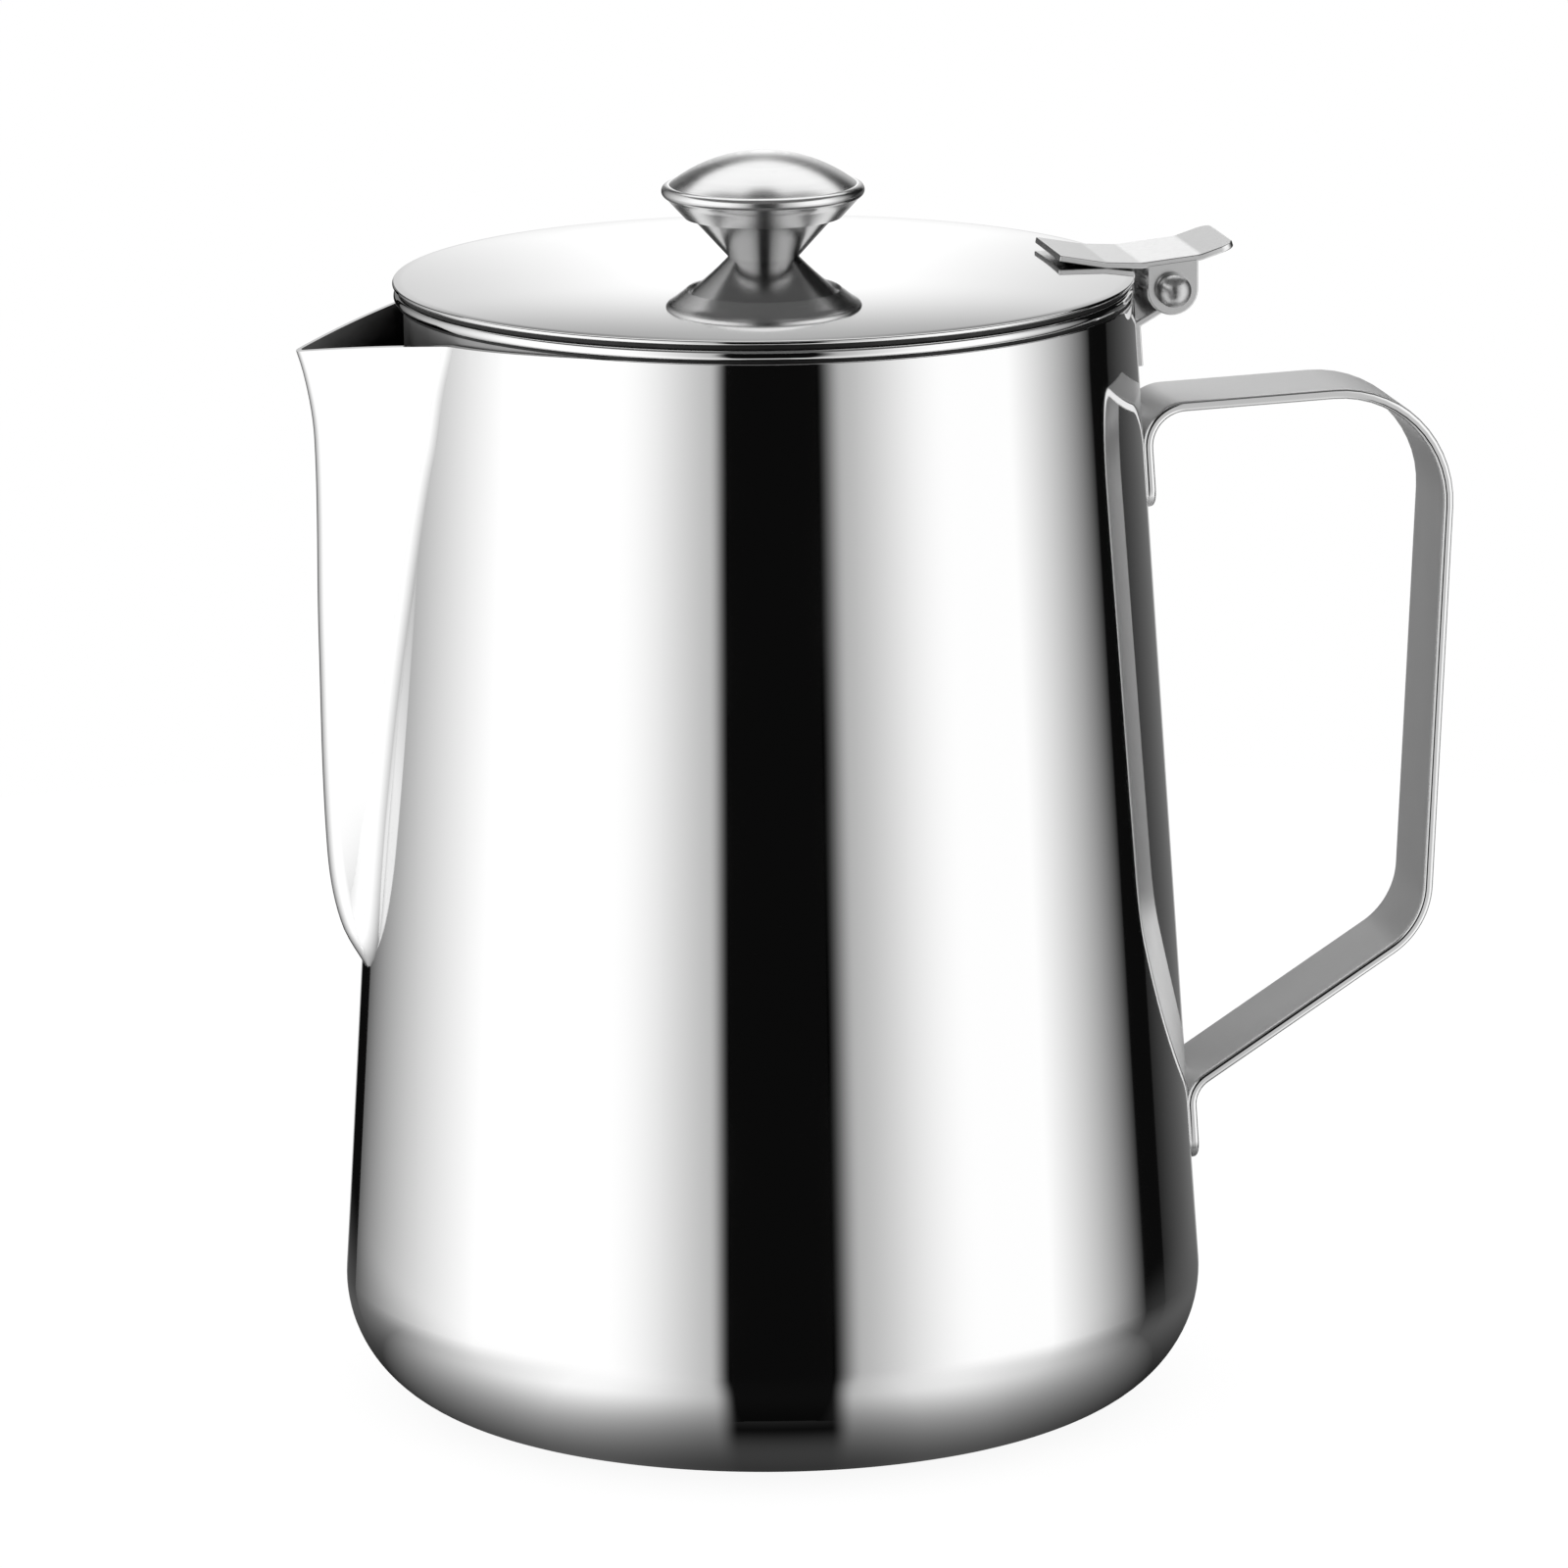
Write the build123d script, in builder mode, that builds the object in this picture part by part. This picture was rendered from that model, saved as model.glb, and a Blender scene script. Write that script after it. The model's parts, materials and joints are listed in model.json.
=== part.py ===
"""Hot milk jug: drawn steel body, welded V spout, strap handle, and a lid on a riveted hinge.

Millimetres. Z is the jug's axis, the origin is the middle of its base, +X points to the handle.
Everything is symmetric about the XZ plane.
"""
import os
from math import asin, atan2, cos, hypot, radians, sin, sqrt, tan

from build123d import *

os.makedirs("parts", exist_ok=True)

# Body: one drawn sheet, flat base, raw rim
jug_height = 155.0  # base to rim
rim_radius = 51.0  # outside, at the rim
foot_radius = 61.1  # outside, where the straight wall would meet the table
foot_corner = 17.0  # outside radius between wall and base
body_sheet = 0.8

# Spout: a pressed V welded over an opening in the wall
spout_sheet = 0.8
spout_nose = 2.2  # outside radius along the keel
spout_dip = 5.0  # fall of the lip below the rim
lip_run_in = 26.0  # rim radius in to where the rim starts to fall towards the lip
spout_inner_reach = 10.0  # how far the V is carried on inside the rim before it is trimmed
lip_reach = 16.0  # keel outside the wall at the rim, then at drops below the rim
flare_drop = 8.0
flare_reach = 12.7
throat_drop = 17.0
throat_reach = 10.8
belly_drop = 45.0
belly_reach = 8.9
heel_drop = 75.0
heel_reach = 6.3
toe_below_heel = 12.0
toe_reach = 3.8
run_out_below_toe = 8.0
run_out_sink = 0.7  # keel inside the wall, below where the V ends
# Stations down the keel: drop, reach, half angle of the V in degrees
spout_stations = [
    (0.0, lip_reach, 44.0),
    (flare_drop, flare_reach, 47.0),
    (throat_drop, throat_reach, 49.0),
    (belly_drop, belly_reach, 42.0),
    (heel_drop, heel_reach, 24.0),
    (heel_drop + toe_below_heel, toe_reach, 10.0),
    (heel_drop + toe_below_heel + run_out_below_toe, -run_out_sink, 4.0),
]

# Handle: one bent strap, its two tabs welded to the wall
strap_width = 16.0
strap_thickness = 1.5
handle_drop = 17.3  # rim down to the top run's underside at the wall
handle_reach = 44.6  # rim radius out to the grip's inside at the top corner
handle_top_rise = 1.6  # climb of the top run on its way out
handle_lean = 3.7  # the lower corner lies this much nearer the jug than the top corner
handle_grip = 76.2  # top corner down to the lower corner, on the hand's side
handle_return_drop = 21.7  # fall of the slanted run on its way back to the wall
upper_tab = 13.4
lower_tab = 11.0
tab_corner = 3.0
bend_at_wall = 4.7  # bend radii are on the hand's side of the strap
bend_top_corner = 15.2
bend_low_corner = 15.2
bend_at_foot = 5.2

edge_match = 0.001  # tolerance for picking edges by their length

# Lid: shallow dome with a rolled edge, a bead that sits on the rim and a skirt inside it
lid_sheet = 0.7
lid_overhang = 0.2  # dome edge outside the rim radius
dome_rise = 2.8
dome_edge_rise = 3.1  # rim up to the dome's edge
edge_roll = 0.3  # half the height of the rolled edge
groove_height = 0.5
groove_depth = 0.8  # groove between the rolled edge and the bead
bead_inset = 0.15  # bead inside the dome's edge
seat_inset = 0.55  # outer end of the flat seat, inside the dome's edge
skirt_depth = 6.0
skirt_clearance = 0.5  # between the skirt and the wall
knob_land_margin = 1.15  # flat in the middle of the dome, outside the knob's neck

# Hinge: lever plate on the lid, leaf with a rolled knuckle on the wall, ball-headed rivet
hinge_offset = 5.0  # rivet outside the rim radius
hinge_rise = 0.2  # rivet above the rim
pin_radius = 1.5
pin_clearance = 0.05  # running clearance in the knuckle
pin_fit = 0.02  # clearance in the ears
pin_head_radius = 2.4
pin_head_offset = 0.8  # centre of the ball outside the ear
knuckle_wall = 0.85
knuckle_gap = 0.6  # above the knuckle, to the lever plate's lowest point
knuckle_side_gap = 0.2
leaf_foot_drop = 10.6  # rim down to the leaf's lower end
leaf_bend_drop = 5.0  # rim down to where the leaf leaves the wall
lever_width = 16.0
lever_sheet = 0.9
lever_sink = 0.1  # the plate is pressed this far into the dome's curve, then trimmed to it
lever_front_lift = 0.5  # front edge above the dome
lever_front = 11.0  # rim radius in to the plate's front edge
lever_bend = 4.5  # rim radius in to where the plate lifts off the dome
lever_low_at = 0.5  # rim radius out to the plate's lowest point
lever_knee = 9.0  # rim radius out to the thumb tab
lever_knee_climb = 0.85  # lowest point up to the thumb tab
lever_reach = 14.0  # rim radius out to the tab's end
lever_end_climb = 1.6  # up along the thumb tab
lever_corner = 2.0
ear_wall = 2.1  # metal round the rivet in each ear

# Knob: domed cap crimped over a spun cone, held by a screw from below the lid
knob_radius = 14.0
knob_neck = 4.85
knob_edge_height = 9.35  # lid up to the middle of the cap's bead
knob_dome_rise = 5.2  # bead's middle up to the crown's top
knob_bead = 0.8  # radius of the bead rolled round the cap's edge
bead_crease_angle = 20.0  # degrees from the bead's top in to the crease at the crown
knob_sheet = 0.7
crimp_width = 4.4  # length of the folded band along the cone
crimp_gap = 0.05
screw_radius = 1.95
screw_clearance = 0.25
screw_head_radius = 3.8
screw_head_height = 2.4
screw_head_round = 0.9
screw_tip = 1.0  # thread showing above the nut
nut_clearance = 0.5  # between the nut's corners and the cone's inside
nut_height = 3.2
nut_thread_gap = 0.05
washer_margin = 0.7  # washer outside the screw's head
washer_thickness = 0.8

# Sizes that follow from the above
wall_slope = (foot_radius - rim_radius) / jug_height
pin_x = rim_radius + hinge_offset
pin_z = jug_height + hinge_rise
knuckle_radius = pin_radius + pin_clearance + knuckle_wall
ear_radius = pin_radius + pin_fit + ear_wall
lid_radius = rim_radius + lid_overhang
dome_edge_z = jug_height + dome_edge_rise
dome_radius = (lid_radius**2 + dome_rise**2) / (2 * dome_rise)
dome_centre_z = dome_edge_z + dome_rise - dome_radius


def wall_radius(z):
    """Outside radius of the straight wall at height z."""
    return rim_radius + wall_slope * (jug_height - z)


def wall_x(z, half_width):
    """X where a flat strip of this half width first meets the round wall at height z."""
    return sqrt(wall_radius(z) ** 2 - half_width**2)


def dome_z(r):
    """Height of the dome's outside at radius r."""
    return dome_centre_z + sqrt(dome_radius**2 - r**2)


def under_z(r):
    """Height of the dome's inside at radius r."""
    return dome_centre_z + sqrt((dome_radius - lid_sheet) ** 2 - r**2)


knob_land = knob_neck + knob_land_margin
knob_seat_z = dome_z(knob_land)

# Solid outline of the body, also used to trim what is welded to the wall
with BuildPart() as jug_form:
    with BuildSketch(Plane.XZ):
        with BuildLine():
            Polyline((0, 0), (foot_radius, 0), (rim_radius, jug_height), (0, jug_height), close=True)
        make_face()
        foot = vertices().sort_by(Axis.X)[-1]
        fillet(foot, foot_corner)
    revolve(axis=Axis.Z)


def spout_form(inset):
    """Solid V of the spout drawn in by inset: 0 gives the outside, one sheet gives the channel."""
    root_x = -(rim_radius - spout_inner_reach)
    nose_radius = spout_nose - inset
    with BuildPart() as form:
        for drop, reach, half_angle in spout_stations:
            slope = radians(half_angle)
            centre_x = -(wall_radius(jug_height - drop) + reach - spout_nose)
            side = (centre_x - nose_radius * sin(slope), nose_radius * cos(slope))
            root = (root_x, side[1] + (root_x - side[0]) * tan(slope))
            with BuildSketch(Plane.XY.offset(jug_height - drop)):
                with BuildLine():
                    Line(root, side)
                    ThreePointArc(side, (centre_x - nose_radius, 0), (side[0], -side[1]))
                    Line((side[0], -side[1]), (root[0], -root[1]))
                    Line((root[0], -root[1]), root)
                make_face()
        loft()
    return form.part


spout_channel = spout_form(spout_sheet)

# Above the lip: from inside the jug the rim falls along an arc towards the spout's tip
lip_x = -(rim_radius + lip_reach)
lip_start_x = -(rim_radius - lip_run_in)
clear_above = 2 * spout_dip
with BuildPart() as lip_form:
    with BuildSketch(Plane.XZ):
        with BuildLine():
            lip = TangentArc((lip_start_x, jug_height), (lip_x, jug_height - spout_dip), tangent=(-1, 0))
            Polyline(
                lip @ 1,
                (lip_x - clear_above, jug_height - spout_dip),
                (lip_x - clear_above, jug_height + clear_above),
                (lip_start_x, jug_height + clear_above),
                lip @ 0,
            )
        make_face()
    extrude(amount=rim_radius, both=True)

# Body shell, open at the rim and behind the spout
with BuildPart() as body_shell:
    add(jug_form.part)
    offset(amount=-body_sheet, openings=body_shell.faces().sort_by(Axis.Z)[-1])
    add(spout_channel, mode=Mode.SUBTRACT)
    add(lip_form.part, mode=Mode.SUBTRACT)
body_shell.part.label = "body_shell"
export_step(body_shell.part, "parts/body_shell.step")

# Spout: a V of sheet trimmed to the wall, with a lip that falls towards its tip
with BuildPart() as spout:
    add(spout_form(0))
    add(spout_channel, mode=Mode.SUBTRACT)
    add(jug_form.part, mode=Mode.SUBTRACT)
    add(lip_form.part, mode=Mode.SUBTRACT)
spout.part.label = "spout"
export_step(spout.part, "parts/spout.step")

# Handle: the strap's face on the hand's side, from the upper tab round to the lower one
strap_half = strap_width / 2
top_z = jug_height - handle_drop
top_corner = (rim_radius + handle_reach, top_z + handle_top_rise)
low_corner = (top_corner[0] - handle_lean, top_corner[1] - handle_grip)
return_z = low_corner[1] - handle_return_drop


def tab_face(z, sheets):
    """Point of a tab on the wall at height z, this many sheets out from the wall."""
    return (wall_x(z, strap_half) + sheets * strap_thickness, z)


with BuildPart() as handle:
    with BuildSketch(Plane.XZ):
        with BuildLine():
            FilletPolyline(
                tab_face(top_z - upper_tab, 1),
                tab_face(top_z, 1),
                top_corner,
                low_corner,
                tab_face(return_z, 0),
                tab_face(return_z - lower_tab, 0),
                radius=[bend_at_wall, bend_top_corner, bend_low_corner, bend_at_foot],
            )
            offset(amount=strap_thickness, side=Side.LEFT)
        make_face()
    extrude(amount=strap_half, both=True)
    tab_edges = handle.edges().filter_by(lambda edge: abs(edge.length - strap_thickness) < edge_match)
    fillet(tab_edges, tab_corner)
    add(jug_form.part, mode=Mode.SUBTRACT)
handle.part.label = "handle"
export_step(handle.part, "parts/handle.step")

# Lid: dome, rolled edge, bead on the rim and skirt, spun about the jug's axis
skirt_radius = rim_radius - body_sheet - skirt_clearance
skirt_inside = skirt_radius - lid_sheet
screw_hole = screw_radius + screw_clearance
roll_radius = lid_radius - edge_roll
groove_radius = lid_radius - groove_depth
groove_z = dome_edge_z - 2 * edge_roll
mid_dome = lid_radius / 2
bead_top_z = groove_z - groove_height
mid_bead_z = (bead_top_z + jug_height) / 2
with BuildPart() as lid:
    with BuildSketch(Plane.XZ):
        with BuildLine():
            land = Line((screw_hole, knob_seat_z), (knob_land, knob_seat_z))
            dome = ThreePointArc(land @ 1, (mid_dome, dome_z(mid_dome)), (roll_radius, dome_z(roll_radius)))
            roll = ThreePointArc(dome @ 1, (lid_radius, dome_edge_z - edge_roll), (roll_radius, groove_z))
            groove = Polyline(roll @ 1, (groove_radius, groove_z), (groove_radius, bead_top_z))
            bead = ThreePointArc(
                groove @ 1, (lid_radius - bead_inset, mid_bead_z), (lid_radius - seat_inset, jug_height)
            )
            skirt = Polyline(
                bead @ 1,
                (skirt_radius, jug_height),
                (skirt_radius, jug_height - skirt_depth),
                (skirt_inside, jug_height - skirt_depth),
                (skirt_inside, under_z(skirt_inside)),
            )
            inside = ThreePointArc(
                skirt @ 1, (mid_dome, under_z(mid_dome)), (knob_land, knob_seat_z - lid_sheet)
            )
            Polyline(inside @ 1, (screw_hole, knob_seat_z - lid_sheet), land @ 0)
        make_face()
    revolve(axis=Axis.Z)
lid.part.label = "lid"
export_step(lid.part, "parts/lid.step")

# Solid under the dome, used to trim the lever plate to the lid's curve
with BuildPart() as dome_form:
    with BuildSketch(Plane.XZ):
        with BuildLine():
            arc = ThreePointArc((0, dome_z(0)), (mid_dome, dome_z(mid_dome)), (lid_radius, dome_edge_z))
            Polyline(arc @ 1, (lid_radius, jug_height), (0, jug_height), arc @ 0)
        make_face()
    revolve(axis=Axis.Z)

# Thumb lever: bent plate welded on the lid, with two ears that hold the rivet
lever_half = lever_width / 2
lever_front_x = rim_radius - lever_front
lever_bend_x = rim_radius - lever_bend
lever_low = (rim_radius + lever_low_at, pin_z + knuckle_radius + knuckle_gap)
lever_knee_point = (rim_radius + lever_knee, lever_low[1] + lever_knee_climb)
lever_end = (rim_radius + lever_reach, lever_knee_point[1] + lever_end_climb)


def lever_middle(x):
    """Height of the plate's middle between its lowest point and the thumb tab."""
    share = (x - lever_low[0]) / (lever_knee_point[0] - lever_low[0])
    return lever_low[1] + share * (lever_knee_point[1] - lever_low[1]) + lever_sheet / 2


with BuildPart() as thumb_lever:
    with BuildSketch(Plane.XZ):
        with BuildLine():
            Polyline(
                (lever_front_x, dome_z(lever_front_x) + lever_front_lift),
                (lever_bend_x, dome_z(lever_bend_x) - lever_sink),
                lever_low,
                lever_knee_point,
                lever_end,
            )
            offset(amount=lever_sheet, side=Side.LEFT)
        make_face()
    extrude(amount=lever_half, both=True)
    plate_edges = thumb_lever.edges().filter_by(lambda edge: abs(edge.length - lever_sheet) < edge_match)
    fillet(plate_edges.sort_by(Axis.X)[-2:], lever_corner)
    for ear_plane in (Plane.XZ.offset(lever_half - lever_sheet), Plane.XZ.offset(-lever_half)):
        with BuildSketch(ear_plane):
            with Locations((pin_x, pin_z)):
                Circle(ear_radius)
            with BuildLine():
                Polyline(
                    (pin_x - ear_radius, pin_z),
                    (pin_x + ear_radius, pin_z),
                    (pin_x + ear_radius, lever_middle(pin_x + ear_radius)),
                    (pin_x - ear_radius, lever_middle(pin_x - ear_radius)),
                    close=True,
                )
            make_face()
            with Locations((pin_x, pin_z)):
                Circle(pin_radius + pin_fit, mode=Mode.SUBTRACT)
        extrude(amount=lever_sheet)
    add(dome_form.part, mode=Mode.SUBTRACT)
thumb_lever.part.label = "thumb_lever"
export_step(thumb_lever.part, "parts/thumb_lever.step")

# Hinge bracket: leaf on the wall, web and knuckle rolled round the rivet
bracket_half = lever_half - lever_sheet - knuckle_side_gap
leaf_foot_z = jug_height - leaf_foot_drop
leaf_bend_z = jug_height - leaf_bend_drop
leaf_foot_x = wall_x(leaf_foot_z, bracket_half)
leaf_bend_x = wall_x(leaf_bend_z, bracket_half)
# The web's lower face runs from the bend to touch the knuckle from below
bend_outer = (leaf_bend_x + knuckle_wall, leaf_bend_z)
to_pin = hypot(pin_x - bend_outer[0], pin_z - bend_outer[1])
web_angle = atan2(pin_z - bend_outer[1], pin_x - bend_outer[0]) - asin(knuckle_radius / to_pin)
web_length = sqrt(to_pin**2 - knuckle_radius**2)
web_along = (cos(web_angle), sin(web_angle))
web_end = (bend_outer[0] + web_length * web_along[0], bend_outer[1] + web_length * web_along[1])
web_top = (web_end[0] - knuckle_wall * web_along[1], web_end[1] + knuckle_wall * web_along[0])
bend_rise = knuckle_wall * (1 - web_along[1]) / web_along[0]
with BuildPart() as hinge_bracket:
    with BuildSketch(Plane.XZ):
        with BuildLine():
            Polyline(
                (leaf_foot_x, leaf_foot_z),
                (leaf_foot_x + knuckle_wall, leaf_foot_z),
                bend_outer,
                web_end,
                web_top,
                (leaf_bend_x, leaf_bend_z + bend_rise),
                close=True,
            )
        make_face()
        with Locations((pin_x, pin_z)):
            Circle(knuckle_radius)
            Circle(pin_radius + pin_clearance, mode=Mode.SUBTRACT)
    extrude(amount=bracket_half, both=True)
    add(jug_form.part, mode=Mode.SUBTRACT)
hinge_bracket.part.label = "hinge_bracket"
export_step(hinge_bracket.part, "parts/hinge_bracket.step")

# Hinge rivet: shank through ears and knuckle, a ball head outside each ear
head_face = sqrt(pin_head_radius**2 - pin_head_offset**2)
head_top = lever_half + pin_head_offset + pin_head_radius
head_widest = (pin_x + pin_head_radius, lever_half + pin_head_offset)
with BuildPart() as hinge_pin:
    with BuildSketch(Plane.XY.offset(pin_z)):
        with BuildLine():
            Polyline(
                (pin_x, 0),
                (pin_x + pin_radius, 0),
                (pin_x + pin_radius, lever_half),
                (pin_x + head_face, lever_half),
            )
            ball = ThreePointArc((pin_x + head_face, lever_half), head_widest, (pin_x, head_top))
            Line(ball @ 1, (pin_x, 0))
        make_face()
        mirror(about=Plane.XZ)
    revolve(axis=Axis((pin_x, 0, pin_z), (0, 1, 0)))
hinge_pin.part.label = "hinge_pin"
export_step(hinge_pin.part, "parts/hinge_pin.step")

# Knob cone: spun cup from the neck out to the cap's edge, with a base that the screw goes through
cap_edge_z = knob_seat_z + knob_edge_height
cone_spread = knob_radius - knob_sheet - knob_neck
cone_run = hypot(cone_spread, knob_edge_height)
cone_along = (cone_spread / cone_run, knob_edge_height / cone_run)
cone_out = (cone_along[1], -cone_along[0])


def on_cone(distance, proud):
    """Point this far up the cone from the neck, and this far outside its face."""
    return (
        knob_neck + distance * cone_along[0] + proud * cone_out[0],
        knob_seat_z + distance * cone_along[1] + proud * cone_out[1],
    )


cone_top = cone_run - 2 * knob_sheet
floor_z = knob_seat_z + knob_sheet
# Up the inner face, the floor lies where the sheet's inside has climbed one sheet
inner_floor = (knob_sheet - on_cone(0, -knob_sheet)[1] + knob_seat_z) / cone_along[1]
with BuildPart() as knob_cone:
    with BuildSketch(Plane.XZ):
        with BuildLine():
            Polyline(
                (screw_hole, knob_seat_z),
                on_cone(0, 0),
                on_cone(cone_top, 0),
                on_cone(cone_top, -knob_sheet),
                on_cone(inner_floor, -knob_sheet),
                (screw_hole, floor_z),
                close=True,
            )
        make_face()
    revolve(axis=Axis.Z)
knob_cone.part.label = "knob_cone"
export_step(knob_cone.part, "parts/knob_cone.step")

# Knob cap: crown, a bead round its edge, and a band folded in from the bead under the cone's edge
crease_slope = radians(bead_crease_angle)
crease_rise = knob_bead * cos(crease_slope)
crease = (knob_radius - knob_bead - knob_bead * sin(crease_slope), cap_edge_z + crease_rise)
crown_rise = knob_dome_rise - crease_rise
cap_radius = (crease[0] ** 2 + crown_rise**2) / (2 * crown_rise)
cap_centre_z = cap_edge_z + knob_dome_rise - cap_radius
cap_inner_radius = cap_radius - knob_sheet
band_low = cone_run - crimp_width
band_top = cone_run - knob_sheet
band_face = crimp_gap + knob_sheet
cap_inner_edge = on_cone(cone_top, crimp_gap)
mid_cap = knob_radius / 2


def cap_z(r, radius):
    """Height at r on a sphere of this radius about the cap's centre."""
    return cap_centre_z + sqrt(radius**2 - r**2)


with BuildPart() as knob_cap:
    with BuildSketch(Plane.XZ):
        with BuildLine():
            crown = ThreePointArc(
                (0, cap_z(0, cap_radius)), (mid_cap, cap_z(mid_cap, cap_radius)), crease
            )
            bead = ThreePointArc(crease, (knob_radius, cap_edge_z), on_cone(band_top, band_face))
            band = Polyline(
                bead @ 1,
                on_cone(band_low, band_face),
                on_cone(band_low, crimp_gap),
                cap_inner_edge,
                (cap_inner_edge[0], cap_z(cap_inner_edge[0], cap_inner_radius)),
            )
            hollow = ThreePointArc(
                band @ 1, (mid_cap, cap_z(mid_cap, cap_inner_radius)), (0, cap_z(0, cap_inner_radius))
            )
            Line(hollow @ 1, crown @ 0)
        make_face()
    revolve(axis=Axis.Z)
knob_cap.part.label = "knob_cap"
export_step(knob_cap.part, "parts/knob_cap.step")

# Knob nut: hexagon on the cone's floor
with BuildPart() as knob_nut:
    with BuildSketch(Plane.XY.offset(floor_z)):
        RegularPolygon(radius=on_cone(inner_floor, -knob_sheet)[0] - nut_clearance, side_count=6)
        Circle(screw_radius + nut_thread_gap, mode=Mode.SUBTRACT)
    extrude(amount=nut_height)
knob_nut.part.label = "knob_nut"
export_step(knob_nut.part, "parts/knob_nut.step")

# Knob washer: between the lid's underside and the screw's head
washer_z = knob_seat_z - lid_sheet - washer_thickness
with BuildPart() as knob_washer:
    with BuildSketch(Plane.XY.offset(washer_z)):
        Circle(screw_head_radius + washer_margin)
        Circle(screw_hole, mode=Mode.SUBTRACT)
    extrude(amount=washer_thickness)
knob_washer.part.label = "knob_washer"
export_step(knob_washer.part, "parts/knob_washer.step")

# Knob screw: rounded head below the washer, shank up through lid, cone and nut
shank_top = floor_z + nut_height + screw_tip
with BuildPart() as knob_screw:
    with BuildSketch(Plane.XY.offset(washer_z - screw_head_height)):
        Circle(screw_head_radius)
    extrude(amount=screw_head_height)
    fillet(knob_screw.faces().sort_by(Axis.Z)[0].edges(), screw_head_round)
    with BuildSketch(Plane.XY.offset(washer_z)):
        Circle(screw_radius)
    extrude(amount=shank_top - washer_z)
knob_screw.part.label = "knob_screw"
export_step(knob_screw.part, "parts/knob_screw.step")
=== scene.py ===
"""Hot milk jug with lid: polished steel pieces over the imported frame, and the studio that they stand in."""
import json
import math

import bmesh
import bpy
from bmesh.types import BMEdge, BMVert
from bpy.props import FloatProperty, FloatVectorProperty, PointerProperty
from bpy.types import Operator, Panel, PropertyGroup
from mathutils import Matrix, Quaternion, Vector


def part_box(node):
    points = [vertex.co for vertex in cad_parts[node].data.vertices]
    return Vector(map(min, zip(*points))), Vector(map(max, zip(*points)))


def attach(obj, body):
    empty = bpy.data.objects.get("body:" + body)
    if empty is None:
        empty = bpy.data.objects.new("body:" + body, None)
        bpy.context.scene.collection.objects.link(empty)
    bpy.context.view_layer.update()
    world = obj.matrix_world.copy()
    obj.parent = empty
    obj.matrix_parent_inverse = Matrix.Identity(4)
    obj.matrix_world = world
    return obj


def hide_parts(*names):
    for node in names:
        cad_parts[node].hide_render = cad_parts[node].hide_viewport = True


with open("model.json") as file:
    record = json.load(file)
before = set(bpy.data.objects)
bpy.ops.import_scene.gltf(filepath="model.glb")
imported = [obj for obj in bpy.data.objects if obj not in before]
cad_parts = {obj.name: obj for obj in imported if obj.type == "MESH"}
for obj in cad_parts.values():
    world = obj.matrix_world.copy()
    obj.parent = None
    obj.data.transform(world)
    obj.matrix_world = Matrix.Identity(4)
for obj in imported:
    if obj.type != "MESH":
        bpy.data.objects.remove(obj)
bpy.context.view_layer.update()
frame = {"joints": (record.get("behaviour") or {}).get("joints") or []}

bl_info = {
    "name": "Hot milk jug with lid",
    "version": (1, 0, 0),
    "blender": (4, 5, 0),
    "location": "View3D > Sidebar > Milk jug",
    "description": "Models the pieces of a polished steel milk jug and the studio round it",
    "category": "Add Mesh",
}

MM = 0.001
TURN = 2 * math.pi
MERGE = 1e-6  # metres: points closer than this are one
SHARP = math.radians(32)  # a fold sharper than this shows as an edge
ROUNDED = math.radians(40)  # a fold sharper than this is rounded where a piece's edges are softened
ROUND_SEGMENTS = 4  # even, so that each half of a rounding takes the material of its own side
PIN = Vector(frame["joints"][0]["pos_m"])  # the lid's hinge

# Faces round the body and lid, the knob, its screw and washer, and the rivet
JUG_STEPS, KNOB_STEPS, SCREW_STEPS, RIVET_STEPS = 256, 128, 96, 64
BEND_STEPS = 14  # faces round a bend of sheet

# Down the spout's keel: drop below the rim and reach outside the wall in mm, half angle of the V in degrees,
# outside radius of the rounded keel in mm
SPOUT_STATIONS = (
    (0.0, 15.8, 44.0, 1.7),
    (8.0, 12.7, 47.0, 2.1),
    (17.0, 10.8, 49.0, 2.5),
    (45.0, 8.9, 42.0, 2.9),
    (75.0, 6.3, 26.0, 3.2),
    (85.5, 3.8, 16.0, 3.2),
    (93.0, -0.7, 10.0, 3.2),
)
# Drops below the rim in mm, from which and to which these are drawn before they are trimmed
SPOUT_ENDS, CHANNEL_ENDS, WELD_ENDS = (-3, 93), (-6, 94), (0.2, 91.2)
SPOUT_LEVELS, WELD_LEVELS = 72, 60
TRIM_RISE = 8 * MM  # the wall that trims the spout goes on this far above the rim
LIP_OUT, LIP_RISE = 10 * MM, 12 * MM  # the cutter over the lip goes this far past the tip and above the rim
BEAD_DEPTH = 0.8  # a tab's weld bead stands out of the wall by this share of its radius
RECESS = (1.1, 0.28)  # length and width of each arm of the screw's cross, as shares of the head's radius
BORE_GAP = 0.05 * MM  # between the nut and the screw
NUT_ROUND, WASHER_ROUND = 0.15 * MM, 0.1 * MM

# Glow of the table as the steel sees it, along the distance from the jug's middle: how, from and to in mm,
# value at each. Its fall towards the foot is a painted shadow; a dark stripe on it, in front of the black
# card, is a painted reflection of that card, and widens outwards
FOOT_PAINTED_SHADOW = ("SMOOTHSTEP", 48, 86, 0.1, 1.15)
STRIPE_PAINTED_REFLECTION = ("SMOOTHSTEP", 50, 63, 0.85, 0.01)
STRIPE_SPREAD = ("LINEAR", 48, 128, 0.8, 1.26)
TABLE_END = ("SMOOTHSTEP", 60, 150, 0.0, 1.0)
STRIPE_TURN = math.radians(1.8)  # the stripe lies this far round from the camera
TABLE_LIFT = 0.92  # share of the table's white that the shadow leaves

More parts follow.
